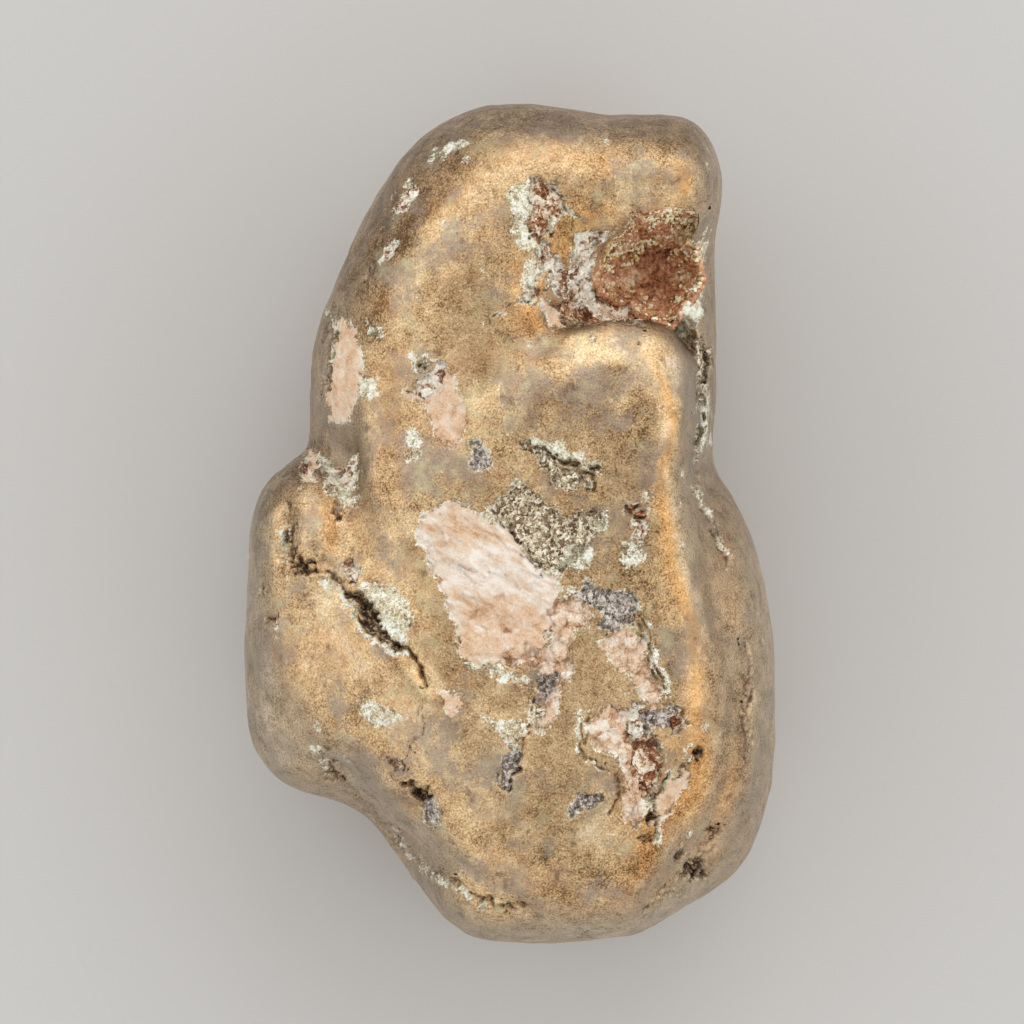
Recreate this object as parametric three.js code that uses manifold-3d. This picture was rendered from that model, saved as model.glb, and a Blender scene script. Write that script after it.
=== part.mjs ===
// A polished, water-worn nugget of domeykite (copper arsenide) with calcite grown through it,
// lying on its back. Millimetres, +Z up.
//
// X runs across the nugget, Y along its length towards the crown, Z from the side it rests on
// to its face. The origin is on the surface it rests on, under the middle of the nugget.
//
// The nugget is a soft union of rounded lobes, such as wear leaves on a lump of metal. Grooves
// and dents are pressed into it, a cavity is cut into its face, and its worn back is flat where
// it rests. A crust of small crystals lines the cavity.

import * as THREE from "three";
import { mergeVertices } from "three/addons/utils/BufferGeometryUtils.js";
import Module from "manifold-3d";

const wasm = await Module();
wasm.setup();

// ---------------------------------------------------------------- driving dimensions, mm

const LENGTH = 63; // crown to foot
const WIDTH = 39.8; // side to side
const DEPTH = 27.2; // resting face to the highest point of the shoulder

// The surface is met by rays that leave a flat oval plate inside the nugget.
const PLATE = new THREE.Vector3(0.3, 0, 12); // its middle
const PLATE_SHARE = 0.6; // of the nugget's width and length
const BLEND = 0.8; // how far two lobes run into each other
const CLOSE_ENOUGH = 1e-4;
const MOST_STEPS = 120;
const STEP_SHARE = 0.8; // of the distance to the surface, so that no step jumps through it

const NUGGET_DETAIL = 19; // splits of each edge of the icosahedron
const FACE_PULL = 0.22; // how far the mesh is drawn to the face, where the relief is finest

// Each lobe: its middle, half width and half length, how far it rises above its middle and
// falls below it, its turn about Z in degrees, and its squareness (2 is an ellipsoid).
const LOBES = {
  trunk: { at: [0.7, -3.2, 12.8], half: [13.2, 18.6], up: 13.7, down: 13.2, turn: 2, square: 2.9 },
  hood: { at: [-2.2, 16.0, 12.4], half: [10.9, 14.3], up: 13.2, down: 13.3, turn: -22, square: 2.6 },
  brow: { at: [2.2, 24.7, 12.2], half: [8.8, 6.5], up: 12.4, down: 10.0, turn: -2, square: 2.8 },
  crown_knob: { at: [10.6, 25.4, 12.4], half: [4.7, 5.3], up: 11.2, down: 8.6, turn: 0, square: 2.6 },
  column: { at: [10.6, 14.8, 9.6], half: [4.7, 13.0], up: 11.8, down: 8.2, turn: 0, square: 2.8 },
  left_flank: { at: [-10.2, 8.8, 10.5], half: [4.7, 9.4], up: 8.6, down: 8.6, turn: -3, square: 2.0 },
  shoulder: { at: [6.2, 2.2, 16.2], half: [7.9, 12.9], up: 10.9, down: 10.0, turn: 1, square: 3.8 },
  right_lobe: { at: [8.9, -10.6, 10.6], half: [10.8, 17.4], up: 15.2, down: 9.6, turn: 5, square: 2.4 },
  right_foot: { at: [11.4, -20.4, 10.5], half: [6.3, 7.2], up: 10.0, down: 8.4, turn: 30, square: 2.3 },
  left_lobe: { at: [-12.5, -4.0, 11.3], half: [7.2, 9.3], up: 12.4, down: 9.2, turn: 0, square: 2.8 },
  left_heel: { at: [-12.4, -12.0, 10.6], half: [7.2, 8.4], up: 9.2, down: 8.6, turn: -10, square: 2.4 },
  belly: { at: [-4.3, -10.4, 12.2], half: [12.5, 12.8], up: 13.8, down: 11.9, turn: 45, square: 3.0 },
  foot: { at: [3.2, -18.8, 12.6], half: [10.7, 12.3], up: 13.6, down: 12.7, turn: 4, square: 3.2 },
  under_strip: { at: [-1.2, -21.9, 8.6], half: [10.0, 7.2], up: 7.4, down: 7.2, turn: -40, square: 2.1 },
};

// Each stroke follows a line on the face (side 1) or the back (side -1): its half width, how far
// it is raised (a groove is below zero), and how squarely its edge falls (2 is a soft bell).
const STROKES = {
  cleft: {
    line: [[12.4, 15.4], [13.9, 12.4], [14.3, 8.8], [13.9, 6.2]],
    reach: 0.9, rise: -2.0, edge: 2, side: 1,
  },
  hood_dip: { line: [[5.0, 18.0], [9.0, 18.4]], reach: 3.6, rise: -1.2, edge: 2, side: 1 },
  left_crack: {
    line: [[-16.7, 1.0], [-16.7, -2.4], [-14.6, -3.5], [-11.2, -5.8], [-8.6, -7.8], [-5.7, -11.6]],
    reach: 1.1, rise: -0.9, edge: 2, side: 1,
  },
  right_groove: {
    line: [[17.3, -8.7], [17.3, -14.2], [15.8, -20.2], [13.4, -25.2], [10.5, -27.8]],
    reach: 1.0, rise: -0.6, edge: 2, side: 1,
  },
  lower_fold: {
    line: [[-12.5, -18.8], [-9.6, -22.3], [-4.9, -25.6], [1.0, -29.2]],
    reach: 1.0, rise: -0.9, edge: 2, side: 1,
  },
  centre_recess: { line: [[1.0, 0.3], [4.5, -1.7]], reach: 2.2, rise: -0.4, edge: 3, side: 1 },
  back_hollow: { line: [[-9.0, 10.8], [-6.0, 16.8]], reach: 4.0, rise: -1.1, edge: 2, side: -1 },
  back_fold: { line: [[9.5, 5.8], [6.5, 11.8], [1.5, 20.8]], reach: 2.2, rise: -1.1, edge: 2, side: -1 },
  back_dent: { line: [[-8.0, -17.2], [-3.0, -23.2]], reach: 3.0, rise: -1.0, edge: 2, side: -1 },
};
const FACE_FROM = 9; // a stroke on the face begins at this height
const FACE_FULL = 14; // and is whole from this height up
const BACK_FROM = 10;
const BACK_FULL = 5;

// Each pit: its middle, radius and depth.
const PITS = {
  lower_left_hole: { at: [-6.9, -20.2, 22.0], reach: 1.5, depth: 1.4 },
  lower_right_hole: { at: [13.8, -25.4, 14.0], reach: 1.5, depth: 1.6 },
  crown_notch: { at: [7.4, 31.0, 12.0], reach: 1.8, depth: 0.8 },
};

// The cavity is the lower half of an ellipsoid, open to the face, and runs out in a shallower
// tail towards the cleft.
const CAVITY = { at: [10.2, 19.3, 21], half: [3.8, 4.4, 5.4], turn: -12 };
const CAVITY_TAIL = { at: [12.6, 15.4, 20], half: [1.7, 2.6, 3.4], turn: 20 };
const CAVITY_SPOKES = 22;
const CAVITY_RINGS = 14;

// The crust lines the cavity's floor: small crystals, thinned to an edge all round.
const CRUST_GAP = 0.35; // between the crust and the wall behind it
const CRUST_THICK = 0.9; // at the middle
const CRUST_EDGE = 0.3; // at the rim
const CRUST_BUMP = 0.22; // how far the crystals stand out
const CRUST_REACH = 68; // degrees up the wall from the deepest point
const CRUST_RINGS = 6;
const CRUST_SPOKES = 22;

// ---------------------------------------------------------------- the shape of the nugget

const UP = new THREE.Vector3(0, 0, 1);
const smooth = (from, to, value) => THREE.MathUtils.smoothstep(value, from, to);

// Distance from a point to a lobe, near enough for stepping towards it: the superellipsoid's
// own measure divided by the length of its gradient.
function lobeDistance(p, lobe) {
  const turn = THREE.MathUtils.degToRad(lobe.turn);
  const dx = p.x - lobe.at[0];
  const dy = p.y - lobe.at[1];
  const dz = p.z - lobe.at[2];
  const half = [lobe.half[0], lobe.half[1], dz > 0 ? lobe.up : lobe.down];
  const share = [
    dx * Math.cos(turn) + dy * Math.sin(turn),
    dy * Math.cos(turn) - dx * Math.sin(turn),
    dz,
  ].map((d, i) => Math.abs(d / half[i]) + 1e-9);
  const power = lobe.square;
  const size = share.reduce((sum, s) => sum + s ** power, 0) ** (1 / power);
  const slope = Math.hypot(...share.map((s, i) => (s / size) ** (power - 1) / half[i]));
  return (size - 1) / slope;
}

// The lobes run together: below zero inside the nugget and above zero outside it.
function lump(p) {
  const distances = Object.values(LOBES).map((lobe) => lobeDistance(p, lobe));
  const least = Math.min(...distances);
  return least - BLEND * Math.log(
    distances.reduce((sum, d) => sum + Math.exp((least - d) / BLEND), 0),
  );
}

// Distance in the XY plane from a point to a line of several stretches.
function lineDistance(p, line) {
  let nearest = Infinity;
  for (let i = 1; i < line.length; i++) {
    const [ax, ay] = line[i - 1];
    const [bx, by] = [line[i][0] - ax, line[i][1] - ay];
    const along = ((p.x - ax) * bx + (p.y - ay) * by) / (bx * bx + by * by);
    const t = THREE.MathUtils.clamp(along, 0, 1);
    nearest = Math.min(nearest, Math.hypot(p.x - ax - t * bx, p.y - ay - t * by));
  }
  return nearest;
}

// How far the strokes and pits raise the surface at a point, along its normal.
function relief(p) {
  const onFace = smooth(FACE_FROM, FACE_FULL, p.z);
  const onBack = 1 - smooth(BACK_FULL, BACK_FROM, p.z);
  let rise = 0;
  for (const stroke of Object.values(STROKES)) {
    const near = Math.exp(-((lineDistance(p, stroke.line) / stroke.reach) ** stroke.edge));
    rise += stroke.rise * near * (stroke.side > 0 ? onFace : onBack);
  }
  for (const { at, reach, depth } of Object.values(PITS)) {
    rise -= depth * Math.exp(-((p.distanceTo(new THREE.Vector3(...at)) / reach) ** 2));
  }
  return rise;
}

function normalAt(p) {
  const h = 0.01;
  const ahead = (x, y, z) => lump(new THREE.Vector3(p.x + x, p.y + y, p.z + z));
  return new THREE.Vector3(
    ahead(h, 0, 0) - ahead(-h, 0, 0),
    ahead(0, h, 0) - ahead(0, -h, 0),
    ahead(0, 0, h) - ahead(0, 0, -h),
  ).normalize();
}

// The point of the surface in a direction: a ray comes in from outside towards the plate, stops
// where it meets the lump, moves by the relief there and stays above the resting plane.
function surfacePoint(outward) {
  const reach = new THREE.Vector3(WIDTH / 2, LENGTH / 2, DEPTH * 0.6).multiply(outward);
  const onPlate = PLATE.clone().add(new THREE.Vector3(reach.x, reach.y, 0).multiplyScalar(PLATE_SHARE));
  const ray = PLATE.clone().add(reach).sub(onPlate);
  const p = onPlate.clone().addScaledVector(ray, 2);
  const inward = ray.clone().normalize().negate();
  for (let i = 0; i < MOST_STEPS; i++) {
    const d = lump(p);
    if (Math.abs(d) < CLOSE_ENOUGH) break;
    p.addScaledVector(inward, d * STEP_SHARE);
  }
  if (p.z < 0) p.lerp(onPlate, -p.z / (onPlate.z - p.z));
  p.addScaledVector(normalAt(p), relief(p));
  p.z = Math.max(p.z, 0);
  return p;
}

// ---------------------------------------------------------------- closed meshes and solids

function barePositions(geometry, tolerance) {
  geometry.deleteAttribute("normal");
  geometry.deleteAttribute("uv");
  return mergeVertices(geometry, tolerance);
}

function solidOf(geometry) {
  return new wasm.Manifold(new wasm.Mesh({
    numProp: 3,
    vertProperties: new Float32Array(geometry.getAttribute("position").array),
    triVerts: new Uint32Array(geometry.index.array),
  }));
}

function geometryOf(vertices, faces) {
  const geometry = new THREE.BufferGeometry();
  geometry.setAttribute("position", new THREE.Float32BufferAttribute(vertices, 3));
  geometry.setIndex(new THREE.BufferAttribute(new Uint32Array(faces), 1));
  geometry.computeVertexNormals();
  return geometry;
}

// An icosphere whose directions are drawn to the face, carried out to the nugget's surface.
function lumpGeometry() {
  const geometry = barePositions(new THREE.IcosahedronGeometry(1, NUGGET_DETAIL), 1e-5);
  const position = geometry.getAttribute("position");
  const outward = new THREE.Vector3();
  for (let i = 0; i < position.count; i++) {
    outward.fromBufferAttribute(position, i).addScaledVector(UP, FACE_PULL).normalize();
    position.setXYZ(i, ...surfacePoint(outward));
  }
  return geometry;
}

function hollowGeometry(hollow) {
  const ball = new THREE.SphereGeometry(1, CAVITY_SPOKES, CAVITY_RINGS);
  ball.rotateX(Math.PI / 2);
  ball.scale(...hollow.half);
  ball.rotateZ(THREE.MathUtils.degToRad(hollow.turn));
  ball.translate(...hollow.at);
  return barePositions(ball, 1e-4);
}

function nuggetGeometry() {
  const cavity = solidOf(hollowGeometry(CAVITY)).add(solidOf(hollowGeometry(CAVITY_TAIL)));
  const cut = solidOf(lumpGeometry()).subtract(cavity).getMesh();
  return geometryOf(cut.vertProperties, cut.triVerts);
}

// ---------------------------------------------------------------- the crust in the cavity

// A closed lens on rings and spokes: its back is the cavity's own form drawn in by the gap, its
// front stands off that by its thickness and a bump for each crystal.
function crustGeometry() {
  const vertices = [];
  const faces = [];
  const turn = THREE.MathUtils.degToRad(CAVITY.turn);
  const put = (ring, spoke, front) => {
    const out = ring / CRUST_RINGS;
    const tilt = THREE.MathUtils.degToRad(CRUST_REACH * out);
    const angle = turn + (spoke / CRUST_SPOKES) * 2 * Math.PI;
    const crystal = Math.sin(ring * 2.4) * Math.sin(spoke * 2.1 + ring) * (1 - out ** 4);
    const thick = CRUST_EDGE + (CRUST_THICK - CRUST_EDGE) * (1 - out * out) + CRUST_BUMP * crystal;
    const inset = CRUST_GAP + (front ? thick : 0);
    const [a, b, c] = CAVITY.half.map((half) => half - inset);
    const u = a * Math.sin(tilt) * Math.cos(angle - turn);
    const v = b * Math.sin(tilt) * Math.sin(angle - turn);
    vertices.push(
      CAVITY.at[0] + u * Math.cos(turn) - v * Math.sin(turn),
      CAVITY.at[1] + u * Math.sin(turn) + v * Math.cos(turn),
      CAVITY.at[2] - c * Math.cos(tilt),
    );
    return vertices.length / 3 - 1;
  };
  const rims = [];
  for (const front of [true, false]) {
    const middle = put(0, 0, front);
    const rings = [];
    for (let ring = 1; ring <= CRUST_RINGS; ring++) {
      rings.push(Array.from({ length: CRUST_SPOKES }, (_, spoke) => put(ring, spoke, front)));
    }
    const face = (a, b, c) => faces.push(...(front ? [a, b, c] : [a, c, b]));
    for (let spoke = 0; spoke < CRUST_SPOKES; spoke++) {
      const next = (spoke + 1) % CRUST_SPOKES;
      face(middle, rings[0][spoke], rings[0][next]);
      for (let ring = 1; ring < CRUST_RINGS; ring++) {
        const [inner, outer] = [rings[ring - 1], rings[ring]];
        face(inner[spoke], outer[spoke], outer[next]);
        face(inner[spoke], outer[next], inner[next]);
      }
    }
    rims.push(rings.at(-1));
  }
  const [frontRim, backRim] = rims;
  for (let spoke = 0; spoke < CRUST_SPOKES; spoke++) {
    const next = (spoke + 1) % CRUST_SPOKES;
    faces.push(frontRim[spoke], backRim[spoke], backRim[next]);
    faces.push(frontRim[spoke], backRim[next], frontRim[next]);
  }
  return geometryOf(vertices, faces);
}

// ---------------------------------------------------------------- the specimen

const polishedDomeykite = new THREE.MeshStandardMaterial({
  color: 0xb08d5f, roughness: 0.4, metalness: 1,
});
const rustyCrystals = new THREE.MeshStandardMaterial({
  color: 0x7a4429, roughness: 0.7, metalness: 0.2,
});

function piece(name, geometry, material) {
  const mesh = new THREE.Mesh(geometry, material);
  mesh.name = name;
  return mesh;
}

const specimen = new THREE.Group();
specimen.add(piece("nugget", nuggetGeometry(), polishedDomeykite));
specimen.add(piece("cavity_crust", crustGeometry(), rustyCrystals));

export default specimen;
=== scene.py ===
"""Dresses a polished, water-worn nugget of domeykite, lying on its back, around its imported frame.

The shape is worked out in millimetres and put into the meshes in metres. X runs across the nugget,
Y along its length towards the crown, Z from the side it rests on to its face.
"""

import math

import bpy
import numpy as np
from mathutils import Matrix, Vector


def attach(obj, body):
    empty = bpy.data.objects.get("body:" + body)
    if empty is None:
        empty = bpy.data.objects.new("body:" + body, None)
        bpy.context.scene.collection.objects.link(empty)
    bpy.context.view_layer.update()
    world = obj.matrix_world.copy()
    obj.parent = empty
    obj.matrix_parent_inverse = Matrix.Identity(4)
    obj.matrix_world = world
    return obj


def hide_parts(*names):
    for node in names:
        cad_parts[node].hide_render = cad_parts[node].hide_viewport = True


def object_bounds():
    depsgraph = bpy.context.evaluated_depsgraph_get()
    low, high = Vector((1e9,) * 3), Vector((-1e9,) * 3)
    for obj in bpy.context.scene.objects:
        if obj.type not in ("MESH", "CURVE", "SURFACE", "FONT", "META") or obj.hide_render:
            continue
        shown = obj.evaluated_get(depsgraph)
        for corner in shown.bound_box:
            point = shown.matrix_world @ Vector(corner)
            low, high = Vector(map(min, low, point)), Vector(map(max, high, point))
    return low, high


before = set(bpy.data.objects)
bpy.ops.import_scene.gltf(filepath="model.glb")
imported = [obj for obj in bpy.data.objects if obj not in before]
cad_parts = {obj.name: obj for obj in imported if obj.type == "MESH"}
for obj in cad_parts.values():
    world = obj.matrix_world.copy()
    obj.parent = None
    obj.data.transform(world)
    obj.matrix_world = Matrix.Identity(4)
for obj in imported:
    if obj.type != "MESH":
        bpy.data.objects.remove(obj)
CAD_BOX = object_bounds()

bl_info = {
    "name": "Domeykite nugget",
    "version": (1, 0, 0),
    "blender": (4, 5, 0),
    "location": "3D View > Sidebar > Nugget",
    "description": "Builds a polished domeykite nugget with calcite, rust and a crystal-lined cavity",
    "category": "Add Mesh",
}

MM = 0.001  # one millimetre in metres

# ---------------------------------------------------------------- the form, mm

LENGTH = 63.0
WIDTH = 39.8
DEPTH = 27.2

# The surface is met by rays that leave a flat oval plate inside the nugget: the plate's middle,
# its size as a share of the nugget's, and how far up the rays reach as a share of the depth.
PLATE = (0.3, 0.0, 12.0)
PLATE_SHARE = 0.6
RAY_RISE = 0.6
BLEND = 0.8  # how far two lobes run into each other
# A point marches in by a share of its distance at each step, until that is small enough.
STEP_SHARE = 0.8
CLOSE_ENOUGH = 1e-4
MOST_STEPS = 60
ABOVE = 32.0  # a height clear of the nugget

# Each lobe: its middle, half width and half length, how far it rises above its middle and falls
# below it, its turn about Z in degrees, and its squareness (2 is an ellipsoid).
LOBES = {
    "trunk": ((0.7, -3.2, 12.8), (13.2, 18.6), 13.7, 13.2, 2, 2.9),
    "hood": ((-2.2, 16.0, 12.4), (10.9, 14.3), 13.2, 13.3, -22, 2.6),
    "brow": ((1.7, 24.7, 12.2), (8.4, 6.5), 12.4, 10.0, -2, 2.5),
    "crown_knob": ((10.6, 25.4, 12.4), (4.7, 5.3), 11.2, 8.6, 0, 2.6),
    "column": ((10.6, 14.8, 9.6), (4.7, 13.0), 11.8, 8.2, 0, 2.8),
    "left_flank": ((-10.2, 8.8, 10.5), (4.7, 9.4), 8.6, 8.6, -3, 2.0),
    "shoulder": ((6.0, 2.6, 16.2), (7.5, 13.4), 10.9, 10.0, 1, 3.5),
    "right_lobe": ((8.9, -10.6, 10.6), (10.8, 17.4), 15.2, 9.6, 5, 2.4),
    "right_foot": ((11.4, -20.4, 10.5), (6.3, 7.2), 10.0, 8.4, 30, 2.3),
    "left_lobe": ((-12.5, -4.0, 11.3), (7.2, 9.3), 12.4, 9.2, 0, 2.8),
    "left_heel": ((-12.4, -12.0, 10.6), (7.2, 8.4), 9.2, 8.6, -10, 2.4),
    "belly": ((-4.3, -10.4, 12.2), (12.5, 12.8), 13.8, 11.9, 45, 3.0),
    "foot": ((3.2, -18.8, 12.6), (10.7, 12.3), 13.6, 12.7, 4, 3.2),
    "under_strip": ((-1.2, -21.9, 8.6), (10.0, 7.2), 7.4, 7.2, -40, 2.1),
}

# Each fold follows a line on the face (side 1) or the back (side -1): its half width, how far it
# is raised (a groove is below zero), and how squarely its edge falls (2 is a soft bell).
FOLDS = {
    "hood_dip": (((5.0, 18.0), (9.0, 18.4)), 3.6, -1.2, 2, 1),
    "left_crack": (
        ((-16.7, 1.0), (-16.7, -2.4), (-14.6, -3.5), (-11.2, -5.8), (-8.6, -7.8), (-5.7, -11.6)),
        0.7, -0.4, 2, 1,
    ),
    "hood_crest": (((-3.0, 14.0), (-1.2, 21.0), (2.8, 26.4)), 4.6, 0.8, 2, 1),
    "knob_crest": (((8.4, 25.8), (12.2, 25.4)), 3.0, 1.3, 2, 1),
    "shoulder_crest": (
        ((-0.8, 8.0), (2.4, 10.6), (6.4, 12.2), (9.4, 12.2), (10.9, 10.4), (11.2, 7.6)), 2.6, 0.9, 2, 1,
    ),
    "shoulder_step": (((3.2, 16.0), (6.4, 16.0), (8.4, 16.6), (10.4, 16.4)), 1.0, -0.8, 2, 1),
    "shoulder_lip": (
        ((4.6, 14.3), (6.4, 14.5), (8.4, 15.0), (10.0, 14.8), (11.4, 13.8), (12.6, 12.2)),
        1.3, 0.8, 2, 1,
    ),
    "trunk_edge": (((-10.0, 9.5), (-9.8, 3.0), (-8.6, -1.0)), 1.5, 0.7, 2, 1),
    "trunk_valley": (((-12.6, 4.5), (-12.2, -1.5)), 1.6, -0.8, 2, 1),
    "belly_crest": (((-8.2, -9.4), (-6.0, -13.0), (-3.0, -17.0)), 3.6, 0.9, 2, 1),
    "belly_side": (((-14.6, -6.6), (-13.0, -12.0)), 2.8, -0.9, 2, 1),
    "edge_ridge": (
        ((11.0, 9.4), (10.9, 4.8), (10.9, 1.9), (11.9, -0.9), (12.8, -3.7), (13.3, -7.0), (13.5, -9.8),
         (13.2, -13.2)),
        2.1, 0.6, 2, 1,
    ),
    "edge_valley": (((14.5, 3.4), (15.4, -2.6), (16.4, -8.0)), 1.2, -0.5, 2, 1),
    "right_groove": (
        ((17.3, -8.7), (17.3, -14.2), (15.8, -20.2), (13.4, -25.2), (10.5, -27.8)), 1.0, -0.3, 2, 1,
    ),
    "lower_fold": (((-12.5, -18.8), (-9.6, -22.3), (-4.9, -25.6), (1.0, -29.2)), 1.5, -0.7, 2, 1),
    "centre_recess": (((1.0, 0.3), (4.5, -1.7)), 2.2, -0.4, 3, 1),
    "back_hollow": (((-9.0, 10.8), (-6.0, 16.8)), 4.0, -1.1, 2, -1),
    "back_fold": (((9.5, 5.8), (6.5, 11.8), (1.5, 20.8)), 2.2, -1.1, 2, -1),
    "back_dent": (((-8.0, -17.2), (-3.0, -23.2)), 3.0, -1.0, 2, -1),
}
# The cleft behind the shoulder goes straight down: its line, half width, depth and edge. Like the
# cavity's lip it fades out between two heights.
CLEFT = (((12.7, 14.8), (13.6, 12.8), (14.0, 10.6), (13.9, 8.6), (13.5, 6.4)), 0.7, 2.6, 3)
DROP_FROM_TO = (5.0, 13.0)
FOLD_STRAY = 0.5  # how far noise bends a fold's line
FACE_FROM_TO = (9.0, 14.0)  # the heights between which folds of the face fade in
BACK_FROM_TO = (5.0, 10.0)  # and those of the back fade out

# Each pit: its middle, radius and depth.
PITS = {
    "lower_left_hole": ((-6.9, -20.2, 22.0), 1.5, 1.4),
    "lower_right_hole": ((13.8, -25.4, 14.0), 1.5, 1.6),
    "crown_notch": ((8.1, 30.8, 12.0), 1.2, 1.3),
}

# ---------------------------------------------------------------- what grows in the face, mm

# Outlines, in X and Y, of what the polish has laid open in the metal. Noise breaks up their edges,
# so each has only its main corners.
CALCITE = {
    "heart": (
        (-6.9, -0.1), (-6.7, 0.7), (-5.5, 1.6), (-4.2, 1.8), (-2.6, 1.5), (-2.0, 0.9), (-0.6, 0.0),
        (0.8, -1.5), (3.1, -3.7), (3.5, -5.0), (3.2, -7.2), (0.2, -7.6), (-3.6, -8.6), (-4.0, -8.0),
        (-4.6, -6.6), (-5.3, -4.3), (-6.5, -2.2),
    ),
    "notch": ((-15.7, 4.4), (-15.1, 5.9), (-14.3, 5.3), (-14.7, 3.2), (-15.6, 3.0)),
}
PEACH = {
    "heart": (
        (-4.0, -8.5), (-3.1, -6.9), (-1.0, -5.0), (0.8, -5.5), (2.7, -6.7), (2.5, -8.7), (1.8, -9.4),
        (-1.4, -10.3), (-2.9, -10.4),
    ),
    "brow_low": ((2.2, 16.9), (3.3, 16.4), (4.2, 15.3), (3.8, 14.7), (2.9, 15.1), (2.0, 16.2)),
    "flank_lens": (
        (-13.0, 15.2), (-12.2, 15.6), (-11.3, 13.8), (-10.9, 11.2), (-11.4, 8.8), (-12.4, 7.6),
        (-13.4, 8.0), (-13.8, 9.8), (-13.3, 12.0),
    ),
    "upper_left": (
        (-7.8, 10.1), (-6.4, 10.6), (-5.7, 12.2), (-4.8, 12.0), (-3.8, 10.4), (-3.1, 7.8),
        (-3.6, 6.3), (-4.8, 5.9), (-5.8, 7.2), (-6.3, 9.2), (-7.8, 9.4),
    ),
    "grain_lens": ((-5.2, -12.4), (-4.4, -11.8), (-3.7, -12.8), (-3.7, -14.2), (-4.6, -14.0)),
    "ledge": ((6.4, 16.5), (7.8, 16.7), (9.2, 15.9), (9.8, 15.1), (8.6, 14.9), (6.8, 15.2)),
    "strip": ((2.0, -10.2), (3.3, -9.6), (3.8, -11.8), (3.3, -14.4), (2.3, -15.4), (2.4, -12.6)),
    "plate": (
        (12.5, -17.5), (13.2, -18.3), (12.7, -20.3), (11.3, -22.1), (10.4, -22.5), (10.9, -20.6),
        (11.7, -18.8),
    ),
}
LUMPS = {
    "heart_right": (
        (3.2, -5.2), (5.4, -5.7), (5.9, -7.6), (4.5, -8.0), (4.3, -9.4), (4.5, -11.2), (3.1, -13.0),
        (1.9, -15.2), (2.1, -11.8), (2.7, -10.8), (1.3, -10.3), (2.7, -8.7), (2.7, -6.7),
    ),
    "heart_low": ((-1.6, -10.2), (1.3, -10.3), (2.4, -9.2), (1.0, -8.7), (-0.6, -9.4)),
    "right_of_heart": (
        (6.6, -8.5), (8.2, -7.2), (9.6, -8.0), (10.1, -9.4), (10.7, -11.2), (11.2, -13.0),
        (11.2, -13.9), (9.6, -12.9), (8.6, -10.8), (7.3, -10.3),
    ),
    "low_arm": (
        (5.7, -14.6), (7.0, -13.3), (9.2, -13.8), (8.6, -15.6), (10.1, -17.0), (9.8, -19.2),
        (10.1, -20.6), (9.2, -22.4), (8.3, -21.6), (8.3, -18.2), (7.6, -16.8), (6.0, -16.2),
    ),
}
CREAM = {
    "crack_flake": ((-11.6, -4.6), (-9.6, -4.2), (-7.2, -5.4), (-7.6, -8.6), (-8.6, -9.4), (-10.5, -7.2)),
    "upper_left_fleck": ((-7.6, 7.2), (-6.9, 7.0), (-6.8, 5.2), (-7.6, 4.8)),
    "ledge": ((2.0, 6.3), (3.7, 6.4), (4.8, 5.2), (6.8, 4.8), (6.8, 4.1), (4.6, 4.4), (3.0, 5.4)),
    "low_bar": ((-2.3, -14.0), (0.2, -14.5), (1.7, -14.5), (0.3, -16.2), (-0.6, -15.2)),
    "yellow_fleck": ((-11.3, -13.0), (-9.6, -13.2), (-7.8, -14.0), (-9.4, -14.8), (-11.0, -14.2)),
    "flank": ((-14.2, 5.2), (-12.8, 4.1), (-11.6, 2.2), (-12.4, 1.6), (-13.6, 2.8)),
    "right": ((8.5, -1.4), (9.8, -1.8), (9.6, -2.4), (8.4, -3.1), (8.3, -1.8)),
    "cleft": (
        (14.0, 10.6), (14.6, 10.2), (14.7, 9.0), (14.3, 7.4), (14.7, 6.2), (14.2, 5.6), (13.6, 6.6),
        (13.5, 7.6), (14.0, 8.8),
    ),
    "brow_rim": (
        (0.9, 25.5), (1.5, 25.5), (1.4, 24.4), (1.5, 23.3), (0.7, 22.4), (1.1, 21.6), (2.2, 20.9),
        (2.0, 20.0), (1.8, 18.5), (1.3, 17.1), (0.9, 17.5), (1.1, 18.9), (1.3, 20.0), (0.5, 20.7),
        (-0.1, 21.8), (0.1, 23.3), (0.0, 24.7),
    ),
    "column": ((12.9, 16.7), (14.0, 17.3), (14.2, 16.4), (13.6, 14.9), (12.5, 14.4), (12.4, 15.5)),
    "left_ticks": ((-11.0, 10.9), (-9.8, 10.9), (-9.8, 9.8), (-10.8, 9.8)),
    "green_dot": ((-10.3, 15.0), (-9.6, 14.8), (-9.6, 14.0), (-10.3, 14.0)),
    "yellow_notch": ((-7.5, 12.6), (-6.0, 12.6), (-6.4, 11.4), (-7.4, 11.4)),
    "cleft_top": ((12.4, 15.7), (13.4, 15.5), (13.7, 14.1), (13.0, 13.5), (12.4, 14.4)),
    "cleft_low": ((13.8, 11.0), (14.4, 10.6), (14.5, 8.6), (14.1, 6.9), (13.8, 8.4)),
    "gold_foot": ((3.4, -3.3), (4.4, -1.6), (5.9, -1.2), (6.3, -2.2), (5.0, -3.5)),
}
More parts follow.
